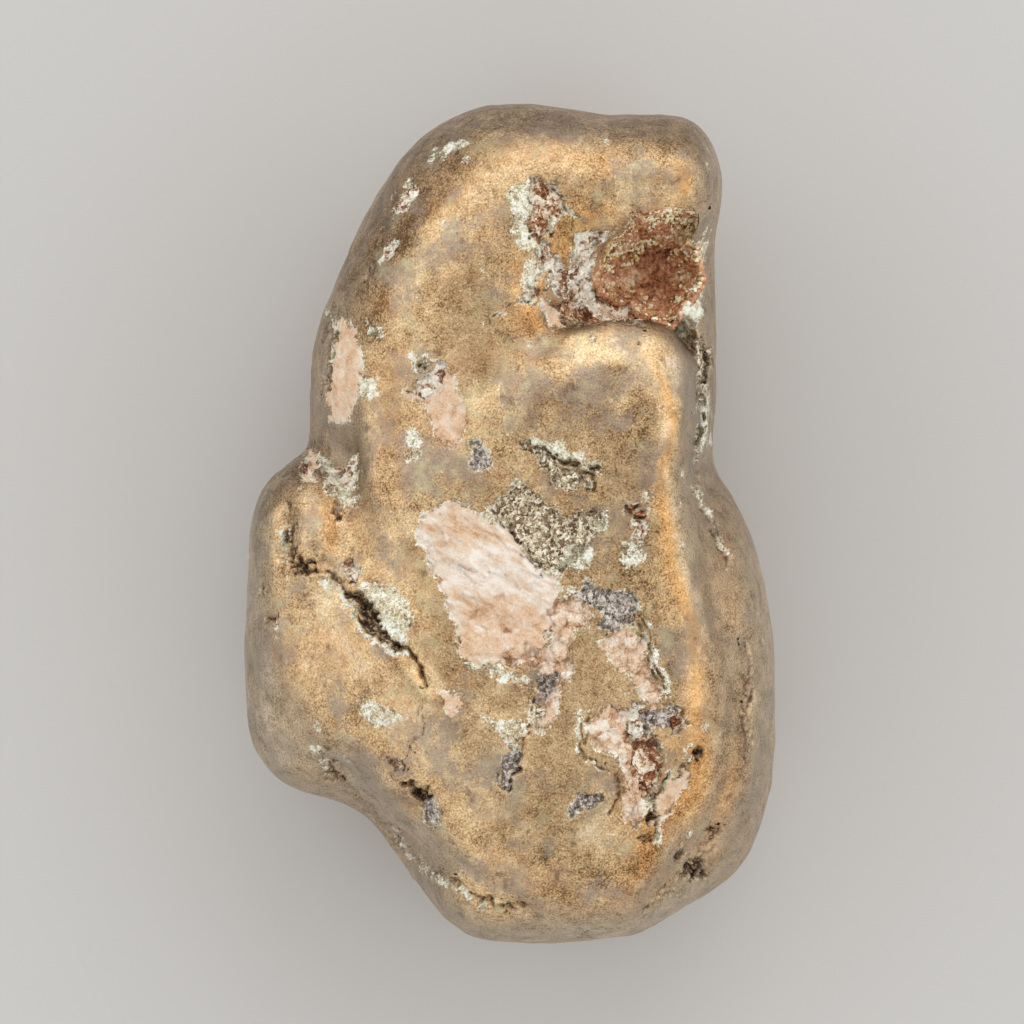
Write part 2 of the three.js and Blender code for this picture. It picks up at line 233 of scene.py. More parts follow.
LILAC = {
    "brow_low": (
        (4.7, 21.6), (5.8, 22.0), (7.1, 21.8), (6.6, 20.9), (6.5, 18.9), (6.7, 17.1), (7.6, 16.5),
        (7.1, 16.0), (5.8, 16.4), (4.7, 16.9), (3.6, 17.3), (2.9, 17.6), (2.2, 17.1), (2.5, 18.2),
        (3.6, 18.7), (4.5, 18.9), (4.7, 20.2),
    ),
    "brow_white": ((7.1, 16.0), (8.4, 16.4), (9.4, 16.0), (10.0, 15.3), (9.1, 14.8), (7.6, 14.9)),
    "brow_middle": (
        (2.1, 21.1), (2.9, 21.1), (3.4, 20.4), (3.9, 18.9), (3.3, 18.5), (2.9, 18.7), (2.2, 18.2),
        (1.8, 18.4), (2.0, 19.6),
    ),
    "brow_corner": ((0.9, 17.6), (1.8, 18.2), (2.2, 17.5), (1.4, 16.5), (0.5, 16.7)),
    "right": ((9.0, 0.6), (10.0, 0.6), (9.8, -1.2), (8.9, -1.4)),
    "upper_left": ((-7.8, 10.1), (-6.4, 10.8), (-5.7, 12.3), (-4.7, 12.0), (-5.2, 10.0), (-6.4, 9.4)),
    "notch": ((-14.0, 4.6), (-12.8, 4.8), (-11.6, 5.6), (-11.8, 3.4), (-13.0, 2.6)),
    "low_arm": ((8.8, -13.4), (10.2, -13.6), (10.6, -15.8), (9.6, -16.8), (8.6, -15.4)),
    "hood_streak": ((-8.8, 22.9), (-8.1, 24.9), (-7.3, 25.8), (-6.8, 25.6), (-7.1, 24.6), (-8.0, 23.4)),
    "hood_streak_low": ((-9.9, 19.4), (-8.8, 21.4), (-8.2, 21.2), (-8.9, 20.2)),
    "crack_plate": ((-12.7, -2.9), (-11.8, -2.4), (-11.2, -3.0), (-11.4, -4.2), (-12.2, -4.0)),
}
ORE = {
    "right_of_heart": (
        (4.2, -5.0), (5.0, -4.9), (5.8, -3.9), (6.6, -4.7), (8.7, -4.5), (9.4, -5.4), (9.1, -7.2),
        (8.0, -7.0), (7.7, -8.1), (6.6, -7.6), (6.7, -6.4), (5.4, -5.9),
    ),
    "upper": ((-3.1, 5.9), (-2.2, 6.2), (-1.8, 5.2), (-1.0, 4.2), (-1.8, 4.0), (-3.1, 4.6)),
    "low": ((9.6, -14.0), (10.6, -13.6), (12.0, -13.4), (11.8, -14.8), (10.2, -15.4)),
    "slot": ((0.1, -16.1), (0.8, -16.1), (0.7, -18.0), (-0.3, -19.5), (-1.0, -19.1), (-0.7, -17.8)),
    "wedge": ((1.9, -11.1), (3.4, -10.9), (3.3, -12.2), (1.8, -13.5)),
    "blade": ((4.1, -20.8), (5.2, -20.1), (6.9, -19.9), (6.9, -20.5), (4.6, -21.4)),
    "hole": ((-6.5, -20.5), (-5.7, -19.8), (-5.1, -20.8), (-5.4, -22.2), (-6.6, -22.0)),
}
GOLD = {
    "heart": (
        (-0.7, 2.1), (0.3, 3.5), (1.3, 3.1), (2.1, 1.8), (4.2, 0.6), (6.4, 1.6), (7.0, -0.2),
        (5.2, -2.0), (3.6, -3.6), (2.0, -2.7), (0.2, -1.0), (-1.8, 1.4),
    ),
    "ledge": ((0.8, 6.0), (1.8, 6.3), (3.8, 4.3), (6.2, 3.6), (6.0, 2.4), (3.9, 2.9), (1.9, 4.6)),
    "cleft": ((13.6, 13.6), (14.9, 13.5), (14.7, 11.8), (14.4, 10.4), (13.8, 10.9), (14.0, 12.2)),
    "bar": ((1.9, -11.3), (2.6, -11.4), (2.4, -14.2), (1.6, -14.2)),
    "cleft_low": ((12.9, 7.6), (13.6, 7.2), (13.8, 5.6), (13.4, 4.4), (13.0, 5.4)),
}
RUST = {
    "low": (
        (9.2, -16.2), (10.4, -15.9), (11.4, -16.6), (11.5, -18.2), (10.8, -19.2), (10.2, -20.6),
        (9.4, -19.6), (8.9, -17.8),
    ),
    "right": ((11.5, -14.3), (12.3, -13.7), (13.0, -14.6), (11.9, -15.5)),
    "brow_upper": (
        (1.4, 25.5), (2.2, 25.5), (3.1, 25.3), (3.5, 24.4), (3.7, 23.5), (2.9, 22.5), (2.7, 21.6),
        (2.0, 21.1), (1.1, 21.8), (0.7, 22.4), (1.5, 23.3), (1.4, 24.5),
    ),
    "brow_slot": (
        (3.6, 16.7), (4.7, 16.9), (6.0, 16.4), (7.6, 16.2), (7.4, 15.5), (6.2, 15.6), (4.7, 15.6),
        (4.0, 16.0),
    ),
    "cleft": (
        (12.0, 14.8), (13.0, 14.6), (13.8, 13.4), (14.1, 12.0), (13.9, 10.8), (13.7, 9.4), (13.7, 7.4),
        (13.4, 5.2), (13.0, 6.4), (13.1, 9.4), (13.1, 12.0), (12.7, 13.3),
    ),
    "right_bit": ((8.6, 1.6), (10.0, 1.5), (9.9, 0.7), (8.9, 0.6)),
    "flank": ((13.4, 2.9), (14.4, 3.0), (14.5, 2.4), (13.5, 2.4)),
    "notch": ((-13.2, 2.2), (-12.8, 2.0), (-12.8, 1.0), (-13.2, 0.8)),
    "crack_foot": ((-8.9, -17.2), (-8.1, -17.1), (-8.2, -17.9), (-8.9, -18.1)),
    "notch_top": ((-15.7, 4.9), (-15.1, 4.8), (-15.0, 4.0), (-15.6, 3.9)),
    "ledge": (
        (7.0, 17.6), (8.8, 17.2), (10.2, 16.4), (11.4, 15.6), (12.2, 14.6), (11.2, 14.8), (10.0, 15.6),
        (8.8, 16.3), (7.2, 16.8),
    ),
}
# Metal that still stands within those outlines.
ISLANDS = {
    "plate": ((-0.2, 4.8), (1.5, 4.8), (4.2, 2.6), (6.2, 1.8), (5.4, 0.9), (4.0, 0.8), (1.2, 2.8)),
    "upper": ((4.5, -8.3), (5.3, -7.7), (6.1, -8.6), (5.7, -10.2), (4.5, -10.5)),
    "lower": ((4.0, -12.2), (5.0, -11.4), (8.2, -10.6), (8.9, -11.4), (8.2, -12.8), (6.2, -13.4)),
    "brow": (
        (3.1, 22.2), (4.0, 22.9), (5.1, 22.5), (4.7, 21.5), (4.5, 20.0), (4.4, 19.1), (3.9, 19.1),
        (3.4, 20.2), (3.0, 21.1),
    ),
}

OUTLINES = {
    "calcite": CALCITE, "peach": PEACH, "lumps": LUMPS, "cream": CREAM, "lilac": LILAC, "ore": ORE,
    "gold": GOLD, "rust": RUST,
}
# The kinds in which those islands stand, all that is laid open in the metal, and all that the
# material reads from the mesh.
BROKEN_BY_METAL = ("calcite", "peach", "lumps", "lilac", "ore", "gold")
LAID_OPEN = (*OUTLINES, "rim", "crack", "hole")
SEEN = (*LAID_OPEN, "pit", "open", "crevice", "lean", "east", "north", "painted_light_and_tone")

# How far each inlay stands above the polish, or below zero under it, and how much of each of the
# surface noises in inlay_relief it has.
RELIEF = {
    "calcite": (-0.12, {"splinter": 0.14, "large": 0.14, "fine": 0.05}),
    "peach": (-0.02, {"large": 0.2, "middle": 0.03, "fine": 0.03}),
    "lumps": (-0.26, {"round": 0.44, "middle": 0.24, "small": 0.1, "rough": 0.16}),
    "lilac": (-0.2, {"middle": 0.2, "small": 0.18, "rough": 0.14}),
    "gold": (-0.32, {"middle": 0.14, "small": 0.22, "bead": 0.2, "fine": 0.06}),
    "ore": (-0.24, {"middle": 0.18, "small": 0.18}),
    "rust": (-0.5, {"middle": 0.25, "small": 0.25, "rough": 0.2}),
    "cream": (0.01, {"middle": 0.05, "small": 0.03, "fine": 0.02}),
    "rim": (0.05, {"middle": 0.1, "small": 0.1, "fine": 0.05}),
}
LAID_OPEN_FROM_TO = (9.0, 12.0)  # the heights between which they fade in, over patches and veins
FAR = 3.0  # farther than this from an outline or a line makes no difference

# Cracks: the line, its half width and its depth.
CRACKS = {
    "left_top": (((-16.6, 1.6), (-16.8, -0.3), (-16.3, -1.4), (-16.4, -2.3)), 0.18, 0.4),
    "left": (
        ((-16.4, -2.3), (-15.5, -3.1), (-13.9, -3.4), (-12.8, -4.2), (-11.5, -5.3), (-10.9, -6.4),
         (-10.0, -7.7), (-8.8, -8.7), (-7.7, -8.9), (-7.0, -10.4), (-6.4, -12.0)),
        0.1, 0.4,
    ),
    "left_gap": (((-12.2, -4.9), (-11.3, -5.6), (-10.6, -6.6), (-9.6, -7.8), (-8.8, -8.6)), 0.42, 0.8),
    "thin_low": (
        ((-6.6, -12.4), (-6.6, -15.3), (-7.5, -16.0), (-7.7, -16.9), (-9.0, -17.4), (-8.7, -18.6)),
        0.03, 0.15,
    ),
    "left_low": (((-14.2, -16.8), (-13.7, -17.6), (-13.5, -18.9)), 0.22, 0.5),
    "lens_left": (((-13.5, 15.3), (-13.5, 13.2), (-13.7, 11.0), (-13.9, 9.0)), 0.1, 0.3),
    "flank_upper": (((14.0, 4.0), (14.5, 2.6), (14.9, 1.0), (15.7, -0.7), (16.5, -2.7)), 0.08, 0.3),
    "flank_lower": (((17.9, -8.5), (18.0, -13.0), (17.6, -17.5)), 0.09, 0.3),
    "patch_right": (
        ((9.3, -6.4), (10.4, -9.3), (11.0, -11.5), (11.6, -13.1), (12.8, -14.1), (13.5, -14.8)),
        0.05, 0.25,
    ),
    "slot": (((1.6, -14.9), (0.8, -16.4), (0.6, -18.3), (-0.6, -19.5)), 0.06, 0.3),
    "hood_thin": (((-9.3, 22.3), (-10.2, 20.7), (-10.9, 17.7)), 0.07, 0.2),
    "brow_left": (((-1.6, 15.1), (0.0, 16.5), (1.8, 16.7)), 0.04, 0.15),
    "brow_diagonal": (((2.9, 25.1), (4.0, 23.8), (5.6, 22.6)), 0.06, 0.3),
    "ledge": (((2.2, 5.8), (3.6, 4.9), (5.2, 4.2), (6.4, 4.1), (6.3, 3.1)), 0.1, 0.45),
    "low_fold": (
        ((-13.6, -18.3), (-11.9, -20.5), (-9.8, -22.8), (-7.6, -25.0), (-5.3, -26.5), (-2.3, -28.0),
         (0.7, -29.3)),
        0.1, 0.3,
    ),
    "low_right": (((9.7, -28.8), (11.8, -27.3), (13.8, -25.4), (15.7, -22.8)), 0.08, 0.3),
    "low_arm_left": (
        ((5.6, -13.9), (5.2, -16.2), (6.1, -17.4), (7.6, -18.1), (8.0, -19.8), (7.4, -21.4)),
        0.05, 0.25,
    ),
    "low_arm_right": (
        ((12.9, -17.5), (11.8, -19.0), (10.4, -20.4), (11.2, -21.6), (10.6, -23.3), (9.4, -23.2)),
        0.08, 0.35,
    ),
    "brow_slot": (((4.0, 15.3), (5.8, 15.2), (7.6, 14.8), (9.3, 14.7)), 0.08, 0.35),
    "cleft_gap": (((12.6, 14.4), (13.3, 12.6), (13.6, 10.6), (13.5, 8.8), (13.0, 7.0)), 0.14, 0.5),
    "calcite_edge": (((-1.1, 0.4), (0.6, -1.4), (2.2, -3.6)), 0.06, 0.3),
}
# Pale, broken rims that stand along some of the edges: the line and its half width.
RIMS = {
    "crack_lower": (
        ((-14.5, -4.0), (-13.0, -4.7), (-11.9, -6.0), (-11.1, -7.6), (-9.4, -9.1), (-7.6, -9.4)), 0.24,
    ),
    "left_low": (((-14.6, -16.6), (-14.1, -17.8), (-13.9, -18.9)), 0.14),
    "crack_left": (((-17.1, 1.1), (-16.9, -1.0), (-17.0, -2.5), (-16.8, -4.0)), 0.18),
    "silver_band": (((-3.2, -10.2), (-0.8, -10.9), (0.7, -11.4), (1.9, -12.3)), 0.25),
    "gold_right": (((4.8, -1.5), (5.9, -0.9), (6.8, 0.6)), 0.18),
    "gold_low": (((3.3, -2.4), (3.4, -4.2)), 0.15),
    "ledge": (((0.4, 6.5), (2.2, 6.5), (3.9, 5.4), (5.2, 4.8), (6.6, 4.7)), 0.26),
    "lens": (((-13.7, 16.2), (-13.2, 14.7), (-13.1, 13.1), (-13.2, 12.0)), 0.18),
    "hook": (((4.8, -13.9), (5.4, -13.4), (6.7, -13.3), (8.6, -13.5)), 0.15),
    "arm_left": (((5.2, -14.0), (4.9, -16.2), (5.9, -17.6), (7.4, -18.3)), 0.16),
    "arm_right": (
        ((13.2, -16.2), (12.7, -17.9), (11.8, -19.2), (10.2, -20.4), (11.4, -21.7), (10.9, -23.3)),
        0.22,
    ),
    "brow_diagonal": (((2.9, 25.1), (4.0, 23.8), (5.6, 22.6)), 0.14),
    "brow_arc": (((2.9, 22.0), (3.3, 22.9), (4.5, 23.3), (5.6, 22.6)), 0.1),
    "brow_left": (((-1.6, 15.1), (0.0, 16.5), (1.8, 16.7)), 0.1),
    "cavity_top": (((7.0, 21.4), (8.4, 22.2), (8.8, 23.3)), 0.1),
    "gold_edge": (((4.2, -2.9), (4.2, -2.0), (5.4, -1.2), (6.8, -0.2), (7.0, 1.6)), 0.16),
    "patch_right": (((9.5, -6.2), (10.7, -9.3), (11.3, -11.5), (11.9, -13.0), (13.2, -14.2)), 0.13),
    "hood_scratch": (((-5.9, 27.1), (-5.0, 27.6), (-4.2, 28.2), (-3.2, 28.8)), 0.18),
    "low_fold": (((-9.4, -23.3), (-7.4, -25.2), (-5.2, -26.8), (-2.3, -28.4)), 0.2),
    "column": (((14.4, 23.2), (14.3, 20.4), (14.2, 17.0), (13.4, 15.0)), 0.22),
    "flank": (((14.2, 3.6), (14.9, 1.8), (15.2, 0.4), (16.0, -0.9), (16.6, -2.3)), 0.12),
}
# Small holes in the face: the middle, radius and depth.
HOLES = {
    "crack_end": ((-15.6, -2.9), 0.7, 0.8),
    "low_left": ((-6.8, -20.0), 0.85, 1.2),
    "low_left_side": ((-7.8, -19.2), 0.4, 0.8),
    "low_right": ((13.9, -25.6), 0.85, 1.3),
    "low_right_small": ((12.5, -24.4), 0.45, 0.7),
    "low_right_far": ((15.2, -23.1), 0.4, 0.6),
    "low_arm": ((13.9, -16.9), 0.5, 0.8),
    "arm_end": ((10.6, -21.4), 0.55, 1.0),
    "foot": ((0.7, -28.7), 0.3, 0.5),
    "foot_right": ((5.5, -30.4), 0.3, 0.5),
    "flank": ((-18.6, -4.8), 0.35, 0.5),
    "flank_low": ((-18.2, -7.0), 0.4, 0.5),
    "upper_left": ((-10.0, 14.3), 0.25, 0.5),
    "upper_left_low": ((-6.6, 12.1), 0.3, 0.5),
}

# ---------------------------------------------------------------- the cavity, mm

CAVITY_MIDDLE = (10.6, 19.2)
CAVITY_FLOOR = 16.6  # height of its deepest point
CAVITY_RADIUS = 4.0  # roughly
CAVITY_MOST = 7.0  # nothing of it is farther from its middle
CAVITY_OUTLINE = (
    (8.8, 23.6), (8.9, 22.4), (8.3, 21.8), (7.0, 21.2), (6.7, 19.6), (6.7, 17.7), (7.4, 17.0),
    (8.9, 16.8), (10.4, 15.7), (11.5, 14.9), (12.3, 15.5), (13.0, 16.6), (13.7, 17.5), (14.2, 18.5),
    (13.8, 19.8), (13.4, 21.5), (14.2, 22.6), (13.9, 23.4), (12.3, 23.6), (11.2, 23.4), (9.8, 23.2),
)
LIP_DROP = 0.15  # how far the metal rolls down to the cavity's rim
LIP_REACH = 0.25  # and how far outside it that begins
# Behind the crust the metal is sunk out of its way: how far, and within what share of the radius.
CRUST_ROOM = 0.6
CRUST_SHARE = 0.97
GROW_TO = 5.0  # the crust's grains grow towards a point this high over the floor
CRYSTAL_SIZE = 0.42  # the largest loose crystal's half width, as a share of the crust's grain

# The calcite's fibres: their direction in degrees, and how many times longer than wide they are.
STREAK_TURN = -34
STREAK_LENGTH = 3.6

# The inlays are sheets on a finer grid. In pockets under them the metal is sunk out of their way:
# how deep, how deep at least round cracks and holes, and how far outside an inlay that begins.
POCKET_DEPTH = 0.5
CRACK_POCKET = 1.2
POCKET_EDGE = 0.3
# A sheet reaches this far outside an inlay, where it ends just under the metal's skin, and over its
# pocket it is lifted to just above it.
SHEET_EDGE = 0.75
SHEET_SUNK = 0.06
SHEET_LIFT = 0.07
SHEET_DEPTH = 0.6  # its thickness
SHEET_PARTING = -2.0  # the Y where the sheet is parted in two

# Tints of the metal's skin: the width of their patches, the noise where they begin and are full,
# how much they cover at most, and the tint.
PATINA = (
    (4.0, 0.5, 0.6, 0.7, "#A3968C"),
    (2.0, 0.56, 0.66, 0.6, "#CFC8A4"),
    (5.0, 0.5, 0.62, 0.25, "#CC9566"),
    (1.4, 0.6, 0.69, 0.7, "#6E5444"),
)
# The tint of the painted warm light on slopes that face +X.
WARM_LIGHT_TINT = "#FFE0B4"
HAIRLINE_TINT = "#5A4430"
CREVICE_TINT = "#A8714C"

# Painted highlights and painted shade, along with some stains and pale zones of the metal and calcite:
# where the face is painted paler than round about, or below zero browner and darker: the line, how far
# to either side of it, and by how much of the tones' ramps.
PAINTED_LIGHT_AND_TONES = {
    "shoulder_top": (((5.6, 13.0), (9.0, 13.6), (10.8, 12.4)), 1.5, 0.09),
    "shoulder_right": (((11.3, 11.6), (11.0, 7.2)), 0.8, 0.1),
    "right_ridge": (
        ((11.0, 7.2), (11.2, 3.5), (11.7, 0.7), (12.3, -1.8), (13.2, -4.8), (13.6, -8.0),
         (13.7, -13.0)),
        0.6, 0.1,
    ),
    "beside_ridge": (((9.4, -1.6), (10.0, -5.0), (10.6, -9.0)), 1.5, -0.05),
    "crown": (((0.4, 28.9), (3.4, 29.1), (6.6, 27.9)), 0.9, 0.05),
    "hood_stain": (((6.4, 24.6), (5.6, 23.0), (4.8, 22.0)), 1.1, -0.08),
    "hood_band": (((-3.6, 27.2), (-6.0, 24.4), (-8.0, 21.6), (-9.4, 18.6), (-10.2, 15.0)), 1.3, -0.12),
    "hood_flat": (((-2.6, 20.0), (-2.2, 16.4)), 2.4, 0.03),
    "left_centre": (((-13.8, -5.8), (-12.6, -8.0), (-11.6, -10.4)), 1.5, 0.1),
    "bottom_band": (((3.6, -27.0), (7.0, -27.2), (10.6, -25.4)), 1.8, -0.09),
    "bottom_stain": (((2.6, -24.4), (6.4, -25.6)), 1.0, -0.05),
    "calcite_white": (((-6.1, -1.4), (-4.7, -3.5), (-1.8, -2.6), (0.4, -2.9), (2.6, -4.4)), 0.9, 0.04),
    "calcite_top": (((-5.4, 1.4), (-2.5, 1.1)), 0.6, 0.05),
    "calcite_fibres": (((-3.8, 0.2), (-1.0, -1.0)), 0.8, -0.04),
    "calcite_foot": (((-2.4, -6.2), (1.6, -8.0)), 1.3, -0.05),
    "ledge_back": (((7.8, 16.4), (9.4, 16.2), (11.0, 15.2)), 0.8, -0.12),
    "brow_island": (((3.6, 22.2), (4.2, 20.0)), 1.0, -0.05),
    "flank": (((15.4, -5.0), (16.4, -12.0), (16.4, -18.0)), 2.2, -0.02),
    "lower_right": (((12.6, -14.0), (12.4, -21.0)), 2.2, -0.03),
    "hood_ridge": (((-4.6, 22.2), (-6.4, 19.8), (-7.6, 17.4), (-8.3, 15.4)), 0.9, 0.07),
    "hood_spot": (((2.6, 25.8), (4.2, 25.8)), 0.9, 0.04),
    "knob_light": (((8.8, 25.8), (12.0, 25.6)), 0.9, 0.06),
    "knob_dark": (((9.4, 27.8), (13.4, 27.8)), 0.8, -0.04),
    "cavity_side": (((14.2, 24.6), (14.2, 21.6)), 0.6, 0.06),
    "left_edge": (((-13.0, 17.2), (-13.9, 13.4), (-14.2, 9.6)), 0.8, 0.06),
    "left_valley_light": (((-9.3, 8.6), (-9.8, 6.0), (-10.5, 2.6), (-10.5, 0.0)), 0.8, 0.07),
    "left_valley_dark": (((-8.6, 2.0), (-6.0, 2.0), (-5.2, -0.6)), 1.6, -0.06),
    "lobe_rim": (((-18.6, 2.0), (-19.2, -6.0), (-18.9, -13.0), (-17.4, -17.4)), 1.2, 0.1),
    "low_centre": (((-6.2, -8.8), (-6.2, -11.0), (-6.6, -14.6)), 1.6, 0.08),
    "low_dark": (((-14.0, -14.4), (-11.2, -13.2)), 1.2, -0.05),
    "foot_light": (((0.2, -17.6), (0.2, -20.4), (1.4, -23.0)), 1.2, 0.06),
    "foot_right_light": (((5.0, -16.0), (6.4, -19.0), (6.4, -22.6)), 1.3, 0.08),
    "bottom_rim": (((5.0, -30.6), (10.5, -29.0), (13.6, -27.4)), 0.8, 0.1),
    "shoulder_corner": (((10.2, 14.4), (12.2, 12.8)), 1.0, -0.08),
    "shoulder_mid": (((9.4, 10.2), (9.0, 5.6)), 1.2, -0.03),
    "brow_foot": (((-1.8, 15.4), (-0.4, 10.8)), 1.3, 0.04),
    "right_rim": (((18.6, -2.0), (19.2, -10.0), (18.8, -19.0)), 0.9, 0.09),
    "shoulder_wall": (((12.5, 13.2), (13.1, 10.6), (13.2, 7.6), (13.0, 5.0)), 0.6, -0.12),
    "shoulder_flat": (((2.0, 8.4), (6.0, 9.0), (8.0, 6.0)), 1.8, -0.04),
    "brow_left": (((0.4, 14.4), (3.2, 13.6)), 0.9, -0.04),
}

PAINTED_LIGHT_FROM_TO = (8.0, 11.0)  # the heights between which the painted highlights, shade and tones fade in

# Small flecks and pits that lie all over the metal: the spacing, and the largest radius.
FLECKS = (2.6, 0.34)
PIN_PITS = (1.7, 0.16)
PIN_DEPTH = 0.12

NOISE_SIDE = 48  # cells after which a noise repeats

# ---------------------------------------------------------------- the stage, metres

VIEW_MIDDLE = (0.000075, 0.001075, 0.012)  # what the camera looks straight down on
SENSOR_WIDTH = 36
SOFTBOX_PLACE = (0.2, 0.6, 0.5)


# ---------------------------------------------------------------- settings


def colour_property(name, description, value):
    """A colour as an sRGB hex value, such as #C8A06C."""
    return bpy.props.StringProperty(name=name, description=description, default=value)


class NuggetSettings(bpy.types.PropertyGroup):
    """Sizes of the nugget's surface."""

    divisions: bpy.props.IntProperty(
        name="Divisions",
        description="Quads along an edge of each of the six grids that wrap the nugget",
        default=128, min=8, max=128,
    )
    face_pull: bpy.props.FloatProperty(
        name="Face pull",
        description="How far the grids are drawn to the face, where the relief is finest",
        default=0.5, min=0, max=0.8, subtype="FACTOR",
    )
    fine_grid: bpy.props.FloatProperty(
        name="Fine grid", description="Spacing of the grid on which the inlays are laid",
        default=0.105 * MM, min=0.05 * MM, unit="LENGTH",
    )
    worn_wave: bpy.props.FloatProperty(
        name="Worn waves", description="Height of the waves that wear leaves in the metal",
        default=0.24 * MM, min=0, unit="LENGTH",
    )
    ragged: bpy.props.FloatProperty(
        name="Ragged edges", description="How far the edges of the inlays wander",
        default=0.34 * MM, min=0, unit="LENGTH",
    )


class MetalSettings(bpy.types.PropertyGroup):
    """Colours of the metal and of what grows in it."""

    metal_dark: colour_property("Dark metal", "The brown grains of the polished metal", "#AA8C68")
    metal: colour_property("Metal", "The polished metal", "#D0B088")
    metal_light: colour_property("Light metal", "The golden grains of the polished metal", "#F0D6AC")
    calcite: colour_property("Calcite", "The peach calcite", "#DFBD9A")
    calcite_pale: colour_property("Pale calcite", "The creamy calcite", "#E6D0B9")
    calcite_light: colour_property("Light calcite", "The white streaks in the calcite", "#F4EADD")
    calcite_dark: colour_property("Stained calcite", "The rust-stained calcite", "#C4966A")
    lilac: colour_property("Lilac calcite", "The greyish calcite under the brow", "#DCCDB8")
    cream: colour_property("Rims", "The pale, broken rims", "#E4DDC2")
    ore: colour_property("Ore", "The grey ore", "#ACA096")
    gold: colour_property("Gold grains", "The dark golden grains", "#C6B592")
    rust: colour_property("Rust", "The rust in the hollows", "#92542C")
    crack: colour_property("Cracks", "The dirt in the cracks", "#4C3727")
    polish: bpy.props.FloatProperty(
        name="Polish", description="Roughness of the polished metal",
        default=0.34, min=0, max=1, subtype="FACTOR",
    )


class CrustSettings(bpy.types.PropertyGroup):
    """Sizes of the crust and the crystals in the cavity."""

    divisions: bpy.props.IntProperty(
        name="Divisions", description="Quads along an edge of the grid that lines the cavity",
        default=150, min=8,
    )
    thickness: bpy.props.FloatProperty(
        name="Thickness", description="Thickness of the crust", default=0.5 * MM, min=0, unit="LENGTH",
    )
    grain: bpy.props.FloatProperty(
        name="Grain", description="Width of a crystal", default=0.42 * MM, min=0, unit="LENGTH",
    )
    crystals: bpy.props.IntProperty(
        name="Crystals", description="How many loose-standing crystals line the cavity", default=5200, min=0,
    )


class StageSettings(bpy.types.PropertyGroup):
    """The floor, the light and the camera."""

    floor_colour: colour_property("Floor", "The pale floor", "#CAC8C5")
    floor_size: bpy.props.FloatProperty(
        name="Floor size", description="Side of the floor", default=1.2, min=0.1, unit="LENGTH",
    )
    view_width: bpy.props.FloatProperty(
        name="View width", description="Width of the view at the nugget's middle",
        default=76.8 * MM, min=0.01, unit="LENGTH",
    )
    lens: bpy.props.FloatProperty(
        name="Lens", description="Focal length in millimetres", default=600, min=50,
    )
    softbox_size: bpy.props.FloatProperty(
        name="Softbox size", description="Side of the softbox", default=0.5, min=0.01, unit="LENGTH",
    )
    softbox_power: bpy.props.FloatProperty(
        name="Softbox power", description="Power of the softbox", default=0.7, min=0, unit="POWER",
    )
    world_light: bpy.props.FloatProperty(
        name="Surrounding light", description="Strength of the light from all round", default=1.7, min=0,
    )


# ---------------------------------------------------------------- numbers to surfaces


def smooth_step(low, high, value):
    """0 below low, 1 above high, and a smooth cubic between them."""
    t = np.clip((value - low) / (high - low), 0, 1)
    return t * t * (3 - 2 * t)


def lattice_noise(points, size, seed):
    """Random values from -1 to 1 on the corners of cells of that size, run smoothly together."""
    table = np.random.default_rng(seed).uniform(-1, 1, (NOISE_SIDE,) * 3)
    cell = np.floor(points / size).astype(int)
    part = points / size - cell
    part = part * part * (3 - 2 * part)
    total = np.zeros(len(points))
    for corner in np.ndindex(2, 2, 2):
        x, y, z = ((cell + corner) % NOISE_SIDE).T
        total += table[x, y, z] * np.prod(np.where(corner, part, 1 - part), axis=1)
    return total


def noise_vectors(noise, points, size, seeds):
    """A noise of its own along each axis, each from its own seed."""
    return np.stack([noise(points, size, seed) for seed in seeds], axis=1)


def fractal_noise(points, size, seed, octaves=3):
    """Lattice noise with finer and weaker noise added, each of half the size and half the height."""
    total = np.zeros(len(points))
    for octave in range(octaves):
        total += lattice_noise(points, size / 2**octave, seed + octave) / 2**octave
    return total / 1.6


def grains(points, size, seed):
    """Seeds scattered one to a cell of that size. For each point: the distance to the nearest seed,
    how much farther off the second is, that seed's own value from -1 to 1, and the height of a
    facet through the seed with a tilt of its own. Distances and heights are shares of the size."""
    random = np.random.default_rng(seed)
    jitter = random.uniform(0.1, 0.9, (NOISE_SIDE, NOISE_SIDE, NOISE_SIDE, 3))
    own = random.uniform(-1, 1, (NOISE_SIDE, NOISE_SIDE, NOISE_SIDE, 4))
    scaled = points / size
    cell = np.floor(scaled).astype(int)
    nearest = np.full(len(points), np.inf)
    second = np.full(len(points), np.inf)
    value = np.zeros((len(points), 4))
    offset = np.zeros((len(points), 3))
    for step in np.ndindex(3, 3, 3):
        at = cell + step - 1
        x, y, z = (at % NOISE_SIDE).T
        away = scaled - at - jitter[x, y, z]
        distance = np.linalg.norm(away, axis=1)
        closer = distance < nearest
        second = np.where(closer, nearest, np.minimum(second, distance))
        nearest = np.where(closer, distance, nearest)
        value[closer] = own[x, y, z][closer]
        offset[closer] = away[closer]
    facet = value[:, 0] * 0.5 + (offset * value[:, 1:]).sum(axis=1)
    return nearest, second - nearest, value[:, 0], facet


def near_line(points, line, reach):
    """The indices of the points in the box round a line, grown by the reach."""
    low = np.min(line, axis=0) - reach
    high = np.max(line, axis=0) + reach
    x, y = points[:, 0], points[:, 1]
    return np.flatnonzero((x > low[0]) & (x < high[0]) & (y > low[1]) & (y < high[1]))


def line_distance(points, line, most=FAR):
    """Distance in the XY plane from each point to a line of several stretches, worked out only near
    the line: farther off it is given as the most."""
    near = near_line(points, line, most)
    place = points[near, :2]
    nearest = np.full(len(near), np.inf)
    for start, end in zip(line[:-1], line[1:]):
        along = np.subtract(end, start)
        away = place - start
        share = np.clip(away @ along / (along @ along), 0, 1)
        nearest = np.minimum(nearest, np.linalg.norm(away - share[:, None] * along, axis=1))
    distance = np.full(len(points), float(most))
    distance[near] = nearest
    return distance


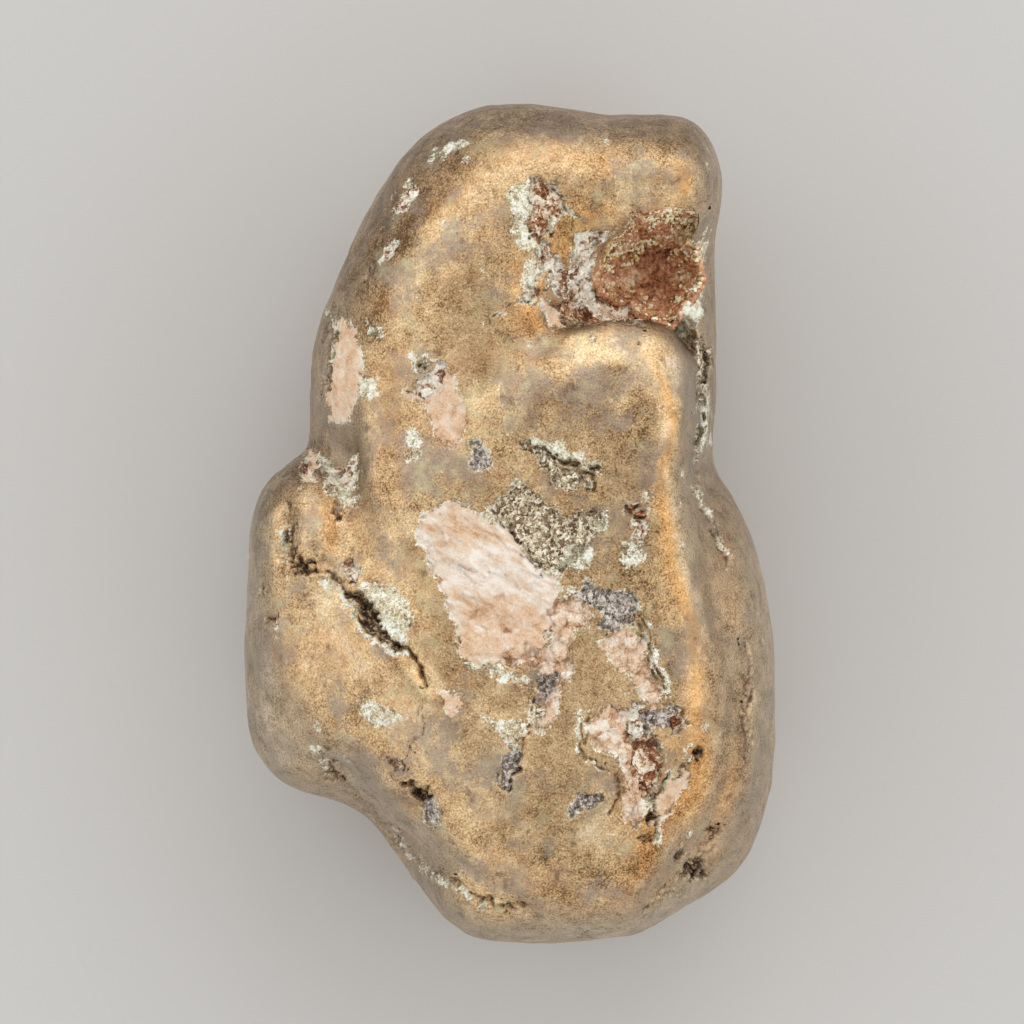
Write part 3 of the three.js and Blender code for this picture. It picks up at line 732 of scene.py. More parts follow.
def bell(points, line, reach, edge=2):
    """1 on a line, and from there down to 0: e to the power of less the distance, as a share of
    the reach and raised to the edge's power. Four times the reach away it is nothing."""
    return np.exp(-((line_distance(points, line, 4 * reach) / reach) ** edge))


def outline_distance(points, outline):
    """Distance in the XY plane to a closed outline, above zero inside it. A point is inside if a
    ray from it crosses the outline an odd number of times."""
    closed = outline + outline[:1]
    near = near_line(points, closed, FAR)
    x, y = points[near, 0], points[near, 1]
    inside = np.zeros(len(near), bool)
    for (ax, ay), (bx, by) in zip(closed[:-1], closed[1:]):
        if ay != by:
            inside ^= ((ay > y) != (by > y)) & (x < (bx - ax) * (y - ay) / (by - ay) + ax)
    distance = np.full(len(points), -FAR)
    distance[near] = np.where(inside, 1, -1) * line_distance(points[near], closed)
    return distance


def lobe_distance(points, lobe):
    """Near enough the distance to a lobe: the measure of its superellipsoid, the root of its
    summed powers less one, divided by the length of that measure's gradient."""
    middle, (half_x, half_y), up, down, turn, power = lobe
    dx, dy, dz = (points - middle).T
    cos, sin = math.cos(math.radians(turn)), math.sin(math.radians(turn))
    half = (half_x, half_y, np.where(dz > 0, up, down))
    along = (dx * cos + dy * sin, dy * cos - dx * sin, dz)
    share = [np.abs(a / h) + 1e-9 for a, h in zip(along, half)]
    size = sum(s**power for s in share) ** (1 / power)
    slope = np.sqrt(sum(((s / size) ** (power - 1) / h) ** 2 for s, h in zip(share, half)))
    return (size - 1) / slope


def lump(points):
    """The lobes run together by a smooth minimum: below zero inside the nugget."""
    distances = np.array([lobe_distance(points, lobe) for lobe in LOBES.values()])
    least = distances.min(axis=0)
    return least - BLEND * np.log(np.exp((least - distances) / BLEND).sum(axis=0))


def march(points, inward):
    """Moves points along their directions to where the lump begins."""
    points = points.copy()
    moving = np.arange(len(points))
    for _ in range(MOST_STEPS):
        distance = lump(points[moving])
        points[moving] += inward[moving] * distance[:, None] * STEP_SHARE
        moving = moving[np.abs(distance) > CLOSE_ENOUGH]
        if not len(moving):
            break
    return points


def drop_to_lump(xy):
    """Where points that come down from above meet the lump."""
    points = np.column_stack((xy, np.full(len(xy), ABOVE)))
    return march(points, np.tile((0.0, 0.0, -1.0), (len(xy), 1)))


def lump_normals(points):
    """Directions in which the lump's measure grows fastest, from small steps along each axis."""
    step = 0.01
    normals = np.empty_like(points)
    for axis in range(3):
        shift = np.zeros(3)
        shift[axis] = step
        normals[:, axis] = lump(points + shift) - lump(points - shift)
    return normals / np.linalg.norm(normals, axis=1)[:, None]


def fold_relief(points):
    """How far the folds and pits raise the surface: a bell across each fold's line, faded out
    away from its side of the nugget, less a bell round each pit."""
    on_face = smooth_step(*FACE_FROM_TO, points[:, 2])
    on_back = 1 - smooth_step(*BACK_FROM_TO, points[:, 2])
    rise = np.zeros(len(points))
    strayed = points + FOLD_STRAY * noise_vectors(lattice_noise, points, 4.0, (91, 92, 93))
    for line, reach, height, edge, side in FOLDS.values():
        rise += height * bell(strayed, line, reach, edge) * (on_face if side > 0 else on_back)
    for middle, reach, depth in PITS.values():
        rise -= depth * np.exp(-((np.linalg.norm(points - middle, axis=1) / reach) ** 2))
    return rise


def surface_lean(points, normals):
    """How far the folded lump leans from level, as a share of a right angle, and how far it faces
    along X and Y: its normals, turned by the slope of the folds between a small step to either
    side. Also the painted highlights and shade, with some stains: the sum of a bell across each
    stroke's line."""
    step = 0.25
    turned = normals.copy()
    for axis in range(2):
        shift = np.zeros(3)
        shift[axis] = step
        turned[:, axis] -= (fold_relief(points + shift) - fold_relief(points - shift)) / (2 * step)
    turned /= np.linalg.norm(turned, axis=1)[:, None]
    painted_light_and_tone = sum(amount * bell(points, line, reach) for line, reach, amount in PAINTED_LIGHT_AND_TONES.values())
    return {
        "lean": np.arccos(np.clip(turned[:, 2], -1, 1)) * 2 / math.pi,
        "east": turned[:, 0],
        "north": turned[:, 1],
        "painted_light_and_tone": painted_light_and_tone * smooth_step(*PAINTED_LIGHT_FROM_TO, points[:, 2]),
    }


def worn_waves(points):
    """The low waves that wear leaves in metal: broad ones about 5 mm long, and finer ones on them."""
    return fractal_noise(points, 4.6, 3, 2) + 0.4 * fractal_noise(points, 1.6, 4, 2)


def grid_quads(divisions):
    """The quads between the points of a square grid, row by row."""
    row = divisions + 1
    corner = (np.arange(divisions)[:, None] * row + np.arange(divisions)).ravel()
    return np.stack((corner, corner + row, corner + row + 1, corner + 1), axis=1)


def wrapped_grid(divisions, pull):
    """Directions on six square grids that close round a ball, drawn together towards +Z, and the
    quads between them. Equal angles along each edge keep the quads alike."""
    angle = np.tan(np.linspace(-math.pi / 4, math.pi / 4, divisions + 1))
    u, v = (g.ravel() for g in np.meshgrid(angle, angle, indexing="ij"))
    one = np.ones_like(u)
    sides = [(one, u, v), (-one, v, u), (v, one, u), (u, -one, v), (u, v, one), (v, u, -one)]
    directions = np.concatenate([np.stack(side, axis=1) for side in sides])
    directions /= np.linalg.norm(directions, axis=1)[:, None]
    quads = np.concatenate([grid_quads(divisions) + side * len(u) for side in range(6)])
    rounded = np.round(directions, 6)
    _, first, same = np.unique(rounded, axis=0, return_index=True, return_inverse=True)
    directions = directions[first] + (0, 0, pull)
    return directions / np.linalg.norm(directions, axis=1)[:, None], same.ravel()[quads]


def lump_surface(outward):
    """Where each direction meets the lump: a ray comes in towards a point of the plate inside,
    stops at the lump and stays above the resting plane."""
    reach = outward * (WIDTH / 2, LENGTH / 2, DEPTH * RAY_RISE)
    on_plate = PLATE + reach * (PLATE_SHARE, PLATE_SHARE, 0)
    ray = PLATE + reach - on_plate
    inward = -ray / np.linalg.norm(ray, axis=1)[:, None]
    points = march(on_plate + 2 * ray, inward)
    below = points[:, 2] < 0
    share = points[:, 2] / (points[:, 2] - on_plate[:, 2])
    points[below] += (on_plate - points)[below] * share[below, None]
    return points


def smooth_normals(points, quads):
    """Each vertex's normal: the sum of those of its quads, which are the cross products of their
    diagonals."""
    a, b, c, d = points[quads.T]
    across = np.cross(c - a, d - b)
    normals = np.stack([
        np.bincount(quads.ravel(), np.repeat(across[:, axis], 4), len(points)) for axis in range(3)
    ], axis=1)
    return normals / np.maximum(np.linalg.norm(normals, axis=1), 1e-12)[:, None]


def new_mesh(name, vertices, faces, attributes=None, normals=None):
    """A mesh object in metres from arrays in millimetres, smooth shaded, with its attributes, and
    with normals of its own where they are given."""
    mesh = bpy.data.meshes.new(name)
    mesh.from_pydata((vertices * MM).tolist(), [], faces.tolist())
    mesh.polygons.foreach_set("use_smooth", np.ones(len(faces), bool))
    for key, values in (attributes or {}).items():
        layer = mesh.attributes.new(key, "FLOAT", "POINT")
        layer.data.foreach_set("value", values.astype(np.float32))
    mesh.update()
    if normals is not None:
        mesh.normals_split_custom_set_from_vertices(normals.tolist())
    piece = bpy.data.objects.new(name, mesh)
    bpy.context.scene.collection.objects.link(piece)
    return piece


# ---------------------------------------------------------------- the inlays


def nearest_outline(points, outlines):
    """The largest of the distances into several outlines: above zero inside any of them."""
    return np.max([outline_distance(points, outline) for outline in outlines.values()], axis=0)


def laid_open(points, ragged):
    """How far each point of the face lies inside each kind of inlay, in millimetres, and how deep
    the cracks and holes are there. The points are first pushed about by smooth noise, and by one
    step for each small cell, which gives the outlines broken, angular edges."""
    push = ragged * np.stack([
        fractal_noise(points, 1.3, seed) + 0.8 * grains(points, 0.7, seed + 9)[2] for seed in (11, 23)
    ], axis=1)
    at = points[:, :2] + push
    fields = {kind: nearest_outline(at, outlines) for kind, outlines in OUTLINES.items()}
    island = nearest_outline(at, ISLANDS)
    for kind in BROKEN_BY_METAL:
        fields[kind] = np.minimum(fields[kind], -island)
    fine = lattice_noise(points, 0.32, 8)
    wide = 1.0 + 0.8 * lattice_noise(points, 0.9, 5) + 0.7 * fine
    narrow = 0.55 + 1.0 * lattice_noise(points, 0.7, 6) + 0.3 * fine
    fields["rim"] = np.max(
        [width * narrow - line_distance(at, line) for line, width in RIMS.values()], axis=0
    )
    cracks = [
        (width * wide - line_distance(at, line), -0.14, width, depth)
        for line, width, depth in CRACKS.values()
    ]
    holes = [
        (radius * (0.85 + 0.5 * fine) - np.linalg.norm(at - middle, axis=1), -0.2, 0.8 * radius, depth)
        for middle, radius, depth in HOLES.values()
    ]
    fields["depth"] = np.zeros(len(points))
    for kind, openings in (("crack", cracks), ("hole", holes)):
        fields[kind] = np.max([inside for inside, *_ in openings], axis=0)
        for inside, outer, inner, depth in openings:
            fields["depth"] = np.maximum(fields["depth"], depth * smooth_step(outer, inner, inside))
    high = smooth_step(*LAID_OPEN_FROM_TO, points[:, 2])
    fields["depth"] *= high
    for kind in LAID_OPEN:
        fields[kind] = np.maximum(fields[kind] - 8 * (1 - high), -FAR)
    fields["inlaid"] = np.max([fields[kind] for kind in LAID_OPEN], axis=0)
    return fields


def inlay_fields(points, ragged):
    """What is laid open on the face; on the sides and the back, which the outlines don't reach,
    patches and veins of three-dimensional noise; and small flecks and pits all over."""
    face = np.flatnonzero(points[:, 2] > LAID_OPEN_FROM_TO[0] - 0.5)
    fields = {}
    for kind, values in laid_open(points[face], ragged).items():
        fields[kind] = np.full(len(points), 0.0 if kind == "depth" else -FAR)
        fields[kind][face] = values
    high = smooth_step(*LAID_OPEN_FROM_TO, points[:, 2])
    patch = (fractal_noise(points, 9.0, 41) - 0.45) * 6
    vein = 0.02 + 0.04 * lattice_noise(points, 2.4, 48) - np.abs(fractal_noise(points, 13.0, 47))
    fields["calcite"] = np.maximum(fields["calcite"], patch - 9 * high)
    fields["rim"] = np.maximum(fields["rim"], 4 * vein - 9 * high)
    spacing, largest = FLECKS
    near, _, value, _ = grains(points, spacing, 51)
    fleck = largest * (value * 1.6 - 0.6) + 0.12 * fractal_noise(points, 0.5, 52) - near * spacing
    fields["cream"] = np.maximum(fields["cream"], fleck)
    spacing, largest = PIN_PITS
    near, _, value, _ = grains(points, spacing, 53)
    fields["open"] = np.max([fields[kind] for kind in (*OUTLINES, "rim")], axis=0)
    fields["pit"] = np.minimum(largest * (value * 1.8 - 0.8) - near * spacing, -fields["open"])
    return fields


def inlay_relief(points, fields):
    """How far the inlays stand below the polish, or above it at the pale rims: each a step of its
    own depth at its edge, with the facets of what it is made of. Also where the crevices lie
    between the lumps of calcite and between its larger plates."""
    inside = {kind: smooth_step(-0.06, 0.1, fields[kind]) for kind in RELIEF}
    turn = math.radians(STREAK_TURN)
    along = points[:, 0] * math.cos(turn) + points[:, 1] * math.sin(turn)
    drawn = points - np.outer(along * (1 - 1 / STREAK_LENGTH), (math.cos(turn), math.sin(turn), 0))
    bend = 0.5 * noise_vectors(fractal_noise, points, 1.1, (76, 79, 82))
    round_near, gap, _, middle = grains(points + bend, 1.1, 72)
    near, _, _, small = grains(points, 0.36, 73)
    noises = {
        "splinter": grains(drawn, 0.7, 70)[3],
        "large": grains(points + bend, 2.4, 71)[3],
        "middle": middle,
        "small": small,
        "round": 0.7 - round_near,
        "bead": 0.5 - near,
        "rough": fractal_noise(points, 0.9, 74),
        "fine": fractal_noise(points, 0.3, 75, 2),
    }
    rise = -PIN_DEPTH * smooth_step(-0.12, 0.1, fields["pit"])
    for kind, (height, weights) in RELIEF.items():
        rise += inside[kind] * (height + sum(w * noises[name] for name, w in weights.items()))
    broken = smooth_step(-0.4, 0.4, lattice_noise(points, 1.3, 90))
    lump_gap = inside["lumps"] * smooth_step(0.2, 0.02, gap) * broken
    vein = np.abs(fractal_noise(drawn + 0.4 * bend, 1.9, 94, 2))
    plate_gap = np.maximum(inside["calcite"], inside["peach"]) * smooth_step(0.06, 0.0, vein) * broken
    rise -= 0.1 * lump_gap + 0.05 * plate_gap
    rise -= fields["depth"] * (1 + 0.3 * noises["rough"])
    return rise, np.maximum(lump_gap, 0.7 * plate_gap)


def dress(points, normals, fields, settings, share=1.0):
    """The surface that shows: the lump raised by its folds, its worn waves and that share of its
    inlays' relief, down to the resting plane and to the cavity's lip."""
    waves = worn_waves(points) * settings.worn_wave / MM
    resting = smooth_step(0.0, 0.6, points[:, 2])
    relief, fields["crevice"] = inlay_relief(points, fields)
    rise = fold_relief(points) + (relief * share + waves) * resting
    dressed = points + normals * rise[:, None]
    dressed[:, 2] -= straight_drop(dressed)
    return dressed


# ---------------------------------------------------------------- the cavity


def cavity_outline_radius(angle):
    """The cavity's radius at each angle round its middle: its outline's corners, read in turn and
    run together, with a little noise round the rim."""
    away = np.subtract(CAVITY_OUTLINE, CAVITY_MIDDLE)
    corner = np.arctan2(away[:, 1], away[:, 0])
    order = np.argsort(corner)
    radius = np.interp(angle, corner[order], np.linalg.norm(away, axis=1)[order], period=2 * math.pi)
    ring = np.stack((np.cos(angle), np.sin(angle), np.zeros_like(angle)), axis=1) * 3
    return radius * (1 + 0.05 * lattice_noise(ring, 0.5, 31)) + 0.12 * lattice_noise(ring, 0.16, 32)


def rim_distance(points):
    """How far outside the cavity's rim each point lies, measured from its middle."""
    away = points[:, :2] - CAVITY_MIDDLE
    return np.linalg.norm(away, axis=1) - cavity_outline_radius(np.arctan2(away[:, 1], away[:, 0]))


def straight_drop(points):
    """How far the metal goes straight down: round the cavity, most at the rim and fading with
    distance, and in a bell across the cleft's line."""
    outside = np.maximum(rim_distance(points), 0)
    line, reach, depth, edge = CLEFT
    rolled = LIP_DROP * np.exp(-((outside / LIP_REACH) ** 1.4))
    cleft = depth * bell(points, line, reach, edge)
    return (rolled + cleft) * smooth_step(*DROP_FROM_TO, points[:, 2])


def face_height(xy):
    """The height of the face over each point: down from above to the lump, and its folds."""
    points = drop_to_lump(xy)
    return points[:, 2] + fold_relief(points) - straight_drop(points)


def cavity_bowl(angle, rise):
    """The cavity's wall: a quarter of an ellipse from the middle of the floor, where rise is 0, to
    the rim, where it is 1."""
    radius = cavity_outline_radius(angle)
    rim = np.stack((np.cos(angle), np.sin(angle)), axis=1) * radius[:, None]
    rim_height = face_height(rim + CAVITY_MIDDLE)
    sweep = rise * math.pi / 2
    xy = rim * np.sin(sweep)[:, None] + CAVITY_MIDDLE
    height = CAVITY_FLOOR + (rim_height - CAVITY_FLOOR) * (1 - np.cos(sweep)) ** 0.8
    return np.column_stack((xy, height))


def sink_cavity(points):
    """Lowers what lies over the cavity to behind the crust that lines it."""
    away = points[:, :2] - CAVITY_MIDDLE
    on_face = points[:, 2] > LAID_OPEN_FROM_TO[1]
    near = np.flatnonzero((np.linalg.norm(away, axis=1) < CAVITY_MOST) & on_face)
    angle = np.arctan2(away[near, 1], away[near, 0])
    share = np.linalg.norm(away[near], axis=1) / cavity_outline_radius(angle)
    inside = share < CRUST_SHARE
    near, angle, share = near[inside], angle[inside], share[inside]
    behind = cavity_bowl(angle, np.arcsin(share) / (math.pi / 2))[:, 2] - CRUST_ROOM
    points[near, 2] = np.minimum(points[near, 2], behind)
    return points


# ---------------------------------------------------------------- materials


def linear(hex_colour):
    """An sRGB hex value as a linear colour with full alpha."""
    parts = [int(hex_colour[i:i + 2], 16) / 255 for i in (1, 3, 5)]
    return [p / 12.92 if p <= 0.04045 else ((p + 0.055) / 1.055) ** 2.4 for p in parts] + [1.0]


def add(tree, kind, inputs=None, out=0, stops=(), **settings):
    """Adds a node: its settings by name, each input either a value or the socket linked to it, and
    a colour ramp's stops as places and colours. Gives one of its outputs, if it has any.

    Sockets that share a name are given by number. Map Range takes 1 to 2 over to 3 to 4, and Mix
    goes from 2 to 3, or for colours from 6 to 7, by the share 0."""
    made = tree.nodes.new("ShaderNode" + kind)
    for name, value in settings.items():
        setattr(made, name, value)
    for key, value in (inputs or {}).items():
        if isinstance(value, bpy.types.NodeSocket):
            tree.links.new(value, made.inputs[key])
        else:
            made.inputs[key].default_value = value
    for number, (place, colour) in enumerate(stops):
        elements = made.color_ramp.elements
        element = elements[number] if number < 2 else elements.new(1.0)
        element.position = place
        element.color = linear(colour)
    return made.outputs[out] if made.outputs else made


def weigh(tree, *parts):
    """A sum of sockets, each times its weight."""
    total = 0.0
    for value, weight in parts:
        total = add(tree, "Math", {0: value, 1: weight, 2: total}, operation="MULTIPLY_ADD")
    return total


def inlay_share(tree, name, fray, soft):
    """Where an inlay shows: its distance attribute, frayed by noise, cut off softly at zero."""
    field = add(tree, "Attribute", out="Fac", attribute_name=name)
    frayed = add(tree, "Math", {0: field, 1: fray}, operation="ADD")
    return add(
        tree, "MapRange", {0: frayed, 1: -soft, 2: soft, 3: 0.0, 4: 1.0},
        interpolation_type="SMOOTHSTEP",
    )


def new_material(name):
    """A material with an empty tree."""
    material = bpy.data.materials.new(name)
    material.use_nodes = True
    material.node_tree.nodes.clear()
    return material, material.node_tree


def millimetres(tree):
    """Object coordinates in millimetres, so that a noise's scale is one over its grain size."""
    place = add(tree, "TexCoord", out="Object")
    return add(tree, "VectorMath", {0: place, 3: 1 / MM}, operation="SCALE")


def polished_domeykite(settings):
    """Domeykite, a copper arsenide, worn by water and tumble-polished. It gives the eye a brown
    gold metal with a satin gloss and fine brown and golden grains, with duller calcite, ore and
    rust set into it behind pale, broken rims. Its colour also holds painted light: brighter slopes,
    a warmer +X side, painted highlights and shade along given lines, a painted reflection on its steep
    sides and painted shadow lines at the inlays' edges."""
    material, tree = new_material("polished_domeykite_with_calcite")
    at = millimetres(tree)
    stain, blot, grain = (
        add(tree, "TexNoise", {"Vector": at, "Scale": 1 / width, "Detail": detail, "Roughness": rough})
        for width, detail, rough in ((6.0, 4.0, 0.6), (1.2, 4.0, 0.6), (0.15, 3.0, 0.75))
    )
    bend = add(tree, "TexNoise", {"Vector": at, "Scale": 1 / 0.5, "Detail": 3.0}, 1)
    bent = add(tree, "VectorMath", {0: bend, 1: (0.6, 0.6, 0.6), 2: at}, operation="MULTIPLY_ADD")
    cell_tone, chip_tone = (
        add(tree, "TexVoronoi", {"Vector": bent, "Scale": 1 / width}, "Color") for width in (0.8, 0.22)
    )
    fray = add(tree, "MapRange", {0: grain, 1: 0.3, 2: 0.7, 3: -0.14, 4: 0.14})
    painted_light_and_tone, lean, east, north, open_by, crevice = (
        add(tree, "Attribute", out="Fac", attribute_name=name)
        for name in ("painted_light_and_tone", "lean", "east", "north", "open", "crevice")
    )

    # The metal's tone also takes the painted highlights and shade of the face, and its stains.
    metal_tone = weigh(
        tree, (-0.09, 1.0), (grain, 0.56), (chip_tone, 0.08), (blot, 0.3), (stain, 0.24), (painted_light_and_tone, 1.0)
    )
    metal = add(tree, "ValToRGB", {0: metal_tone}, stops=(
        (0.35, "#664E36"), (0.43, settings.metal_dark), (0.5, settings.metal),
        (0.6, settings.metal_light), (0.7, "#FFF2E2"),
    ))
    # Each tint lies in patches of its own width, where its own noise passes a threshold.
    for number, (width, low, high, most, tint) in enumerate(PATINA):
        patch = add(
            tree, "TexNoise",
            {"Vector": at, "W": number, "Scale": 1 / width, "Detail": 5.0, "Roughness": 0.65},
            noise_dimensions="4D",
        )
        share = add(tree, "MapRange", {0: patch, 1: low, 2: high, 3: 0.0, 4: most})
        metal = add(tree, "Mix", {0: share, 6: metal, 7: linear(tint)}, 2, data_type="RGBA")
    # Painted light: slopes that lean 30 to 45 degrees from level are painted brightest, and level parts
    # and steep sides darker, as a ring of light would light them.
    lean = weigh(tree, (lean, 1.0), (blot, 0.12), (stain, 0.1))
    painted_tilt_light = add(tree, "ValToRGB", {0: lean}, stops=(
        (0.16, "#E8E4DC"), (0.32, "#FFFDF6"), (0.5, "#FFFBF2"), (0.8, "#EAE8E6"),
    ))
    # Painted light: slopes that face +X are painted a warmer, more coppery gold, unless they are steep.
    painted_warm_light = add(
        tree, "MapRange", {0: weigh(tree, (east, 1.0), (blot, 0.2)), 1: 0.25, 2: 0.55, 3: 0.0, 4: 0.75}
    )
    not_steep = add(tree, "MapRange", {0: lean, 1: 0.45, 2: 0.65, 3: 1.0, 4: 0.2})
    painted_warm_light = add(tree, "Math", {0: painted_warm_light, 1: not_steep}, operation="MULTIPLY")
    for share, tint in ((1.0, painted_tilt_light), (painted_warm_light, linear(WARM_LIGHT_TINT))):
        metal = add(
            tree, "Mix", {0: share, 6: metal, 7: tint}, 2, data_type="RGBA", blend_type="MULTIPLY"
        )
    # The film of tarnish on steep sides carries a painted reflection: it is painted dark brown where it
    # faces the crown and the left, paler and greyer where it faces the foot and the right, and paler where
    # the painted light is higher. Grains speckle it.
    side = weigh(tree, (north, 0.7), (east, -0.3), (blot, 0.3), (painted_light_and_tone, -1.5))
    film_and_reflection_tint = add(tree, "ValToRGB", {0: side}, stops=(
        (0.0, "#D6C8B2"), (0.2, "#C2B39E"), (0.6, "#867058"),
    ))
    speckle = add(tree, "ValToRGB", {0: weigh(tree, (grain, 0.6), (blot, 0.4))}, stops=(
        (0.38, "#9A9088"), (0.47, "#DCD8D2"), (0.56, "#FFFFFF"),
    ))
    film_and_reflection_tint = add(
        tree, "Mix", {0: 1.0, 6: film_and_reflection_tint, 7: speckle}, 2, data_type="RGBA", blend_type="MULTIPLY"
    )
    # It begins where the surface steepens, thins where it hangs over, and grains wear through it.
    worn = weigh(tree, (grain, 0.55), (chip_tone, 0.1), (blot, 0.35))
    film = add(tree, "MapRange", {0: lean, 1: 0.5, 2: 0.85, 3: 0.0, 4: 1.0})
    for value, low, high, start, end in ((lean, 0.9, 1.15, 1.0, 0.5), (worn, 0.4, 0.6, 0.9, 0.3)):
        part = add(tree, "MapRange", {0: value, 1: low, 2: high, 3: start, 4: end})
        film = add(tree, "Math", {0: film, 1: part}, operation="MULTIPLY")
    metal = add(tree, "Mix", {0: film, 6: metal, 7: film_and_reflection_tint}, 2, data_type="RGBA")
    # Hairlines: where a noise passes through its middle value, in patches.
    wander = add(
        tree, "TexNoise", {"Vector": bent, "Scale": 1 / 3.2, "Detail": 4.0, "Roughness": 0.55}
    )
    away = add(tree, "Math", {0: wander, 1: 0.5}, operation="SUBTRACT")
    away = add(tree, "Math", {0: away}, operation="ABSOLUTE")
    hairline = add(tree, "MapRange", {0: away, 1: 0.006, 2: 0.001, 3: 0.0, 4: 0.6})
    gate = add(tree, "MapRange", {0: blot, 1: 0.5, 2: 0.6, 3: 0.0, 4: 1.0})
    hairline = add(tree, "Math", {0: hairline, 1: gate}, operation="MULTIPLY")
    metal = add(tree, "Mix", {0: hairline, 6: metal, 7: linear(HAIRLINE_TINT)}, 2, data_type="RGBA")

    stretched = add(
        tree, "Mapping",
        {"Vector": at, "Rotation": (0, 0, math.radians(STREAK_TURN)), "Scale": (STREAK_LENGTH, 1, 1)},
        vector_type="TEXTURE",
    )
    streak = add(
        tree, "TexNoise", {"Vector": stretched, "Scale": 1 / 0.6, "Detail": 5.0, "Roughness": 0.7}
    )
    broken = weigh(tree, (cell_tone, 0.35), (chip_tone, 0.3), (grain, 0.35))
    fine_break = weigh(tree, (chip_tone, 0.4), (grain, 0.6))
    # The calcite's tone takes the painted highlights and shade too, and its pale and stained zones.
    calcite_tone = weigh(
        tree, (streak, 0.5), (blot, 0.3), (grain, 0.2), (stain, 0.25), (painted_light_and_tone, 1.0), (-0.125, 1.0)
    )
    # The colours of each inlay, from dark to light, and the tone that they follow.
    colours = {
        "calcite": (calcite_tone, (
            (0.36, settings.calcite_dark), (0.43, settings.calcite), (0.5, settings.calcite_pale),
            (0.58, settings.calcite_light),
        )),
        "peach": (weigh(tree, (blot, 0.4), (streak, 0.3), (grain, 0.3)), (
            (0.36, "#B98A62"), (0.45, "#DDB58E"), (0.53, "#E8CBAE"), (0.63, "#F6E8DA"),
        )),
        "lumps": (weigh(tree, (blot, 0.35), (cell_tone, 0.2), (grain, 0.45)), (
            (0.36, "#A8744A"), (0.43, "#D8B08A"), (0.5, "#E8C9AA"), (0.6, "#FAEFE0"),
        )),
        "lilac": (broken, (
            (0.37, "#7A4A2A"), (0.43, "#BE9670"), (0.49, settings.lilac), (0.56, "#F0E7D4"),
            (0.63, "#FFFBEC"),
        )),
        "ore": (fine_break, (
            (0.36, "#5A4E44"), (0.44, "#887B72"), (0.52, settings.ore), (0.6, "#E0D6C8"),
        )),
        "gold": (fine_break, (
            (0.35, "#5E4632"), (0.43, "#957A60"), (0.52, settings.gold), (0.6, "#FFF6DE"),
        )),
        "rust": (broken, (
            (0.36, "#582C14"), (0.43, settings.rust), (0.49, "#B07444"), (0.55, "#D6B68E"),
            (0.61, "#F8ECD8"),
        )),
        "cream": (weigh(tree, (fine_break, 0.6), (blot, 0.4)), (
            (0.36, "#9C9472"), (0.44, "#C2BE9C"), (0.51, settings.cream), (0.6, "#F6F8EE"),
        )),
        # Dirt in the cracks, holes and pits, and also the painted shadow line along the inlays' edges.
        "dirt_and_shade": (fine_break, (
            (0.38, "#2C1F17"), (0.47, settings.crack), (0.56, "#86684A"), (0.66, "#C8AE84"),
        )),
    }
    colours = {
        name: add(tree, "ValToRGB", {0: tone}, stops=stops) for name, (tone, stops) in colours.items()
    }

    soft = {"cream": 0.28, "crack": 0.08, "hole": 0.08, "pit": 0.08}
    shares = {
        name: inlay_share(tree, name, fray, soft.get(name, 0.05)) for name in (*LAID_OPEN, "pit")
    }
    # The cream is patchy.
    patchy = add(tree, "MapRange", {
        0: weigh(tree, (blot, 0.6), (grain, 0.4)), 1: 0.42, 2: 0.52, 3: 0.3, 4: 1.0,
    })
    shares["cream"] = add(tree, "Math", {0: shares["cream"], 1: patchy}, operation="MULTIPLY")
    # Ragged frost where the metal breaks off at an inlay, and elsewhere a painted shadow line just inside
    # that edge: how far each reaches and is full, how much it covers, and in which blots.
    frayed = add(tree, "Math", {0: open_by, 1: fray}, operation="ADD")
    inner = add(tree, "Math", {0: frayed, 1: 0.07}, operation="SUBTRACT")
    for name, place, wide, narrow, most, low, high, start, end in (
        ("frost", frayed, 0.13, 0.03, 1.0, 0.45, 0.56, 0.0, 1.0),
        ("edge", inner, 0.09, 0.02, 0.7, 0.46, 0.52, 1.0, 0.0),
    ):
        away = add(tree, "Math", {0: place}, operation="ABSOLUTE")
        share = add(tree, "MapRange", {0: away, 1: wide, 2: narrow, 3: 0.0, 4: most})
        gate = add(tree, "MapRange", {0: blot, 1: low, 2: high, 3: start, 4: end})
        shares[name] = add(tree, "Math", {0: share, 1: gate}, operation="MULTIPLY")

    # From the metal up, each layer has its colour, roughness, share of metal and tilt of facets.
    colour = metal
    gloss = add(tree, "MapRange", {
        0: grain, 1: 0.3, 2: 0.7, 3: settings.polish + 0.12, 4: settings.polish - 0.1,
    })
    metallic = 1.0
    facet = 0.0
    for name, above, rough, metal_share, tilt in (
        ("calcite", "calcite", 0.4, 0.0, 0.3),
        ("peach", "peach", 0.36, 0.0, 0.2),
        ("lumps", "lumps", 0.42, 0.0, 0.35),
        ("lilac", "lilac", 0.42, 0.0, 0.9),
        ("gold", "gold", 0.4, 0.35, 1.0),
        ("ore", "ore", 0.38, 0.15, 0.8),
        ("rust", "rust", 0.6, 0.0, 0.8),
        ("cream", "cream", 0.36, 0.3, 0.3),
        ("rim", "cream", 0.4, 0.2, 0.6),
        ("frost", "cream", 0.4, 0.3, 0.4),
        # The edge is a painted shadow line in the dirt's dark colour.
        ("edge", "dirt_and_shade", 0.7, 0.0, 0.6),
        ("crack", "dirt_and_shade", 0.8, 0.0, 0.6),
        ("hole", "dirt_and_shade", 0.8, 0.0, 0.6),
        ("pit", "dirt_and_shade", 0.8, 0.0, 0.3),
    ):
        share = shares[name]
        colour = add(tree, "Mix", {0: share, 6: colour, 7: colours[above]}, 2, data_type="RGBA")
        gloss = add(tree, "Mix", {0: share, 2: gloss, 3: rough})
        metallic = add(tree, "Mix", {0: share, 2: metallic, 3: metal_share})
        facet = add(tree, "Mix", {0: share, 2: facet, 3: tilt})
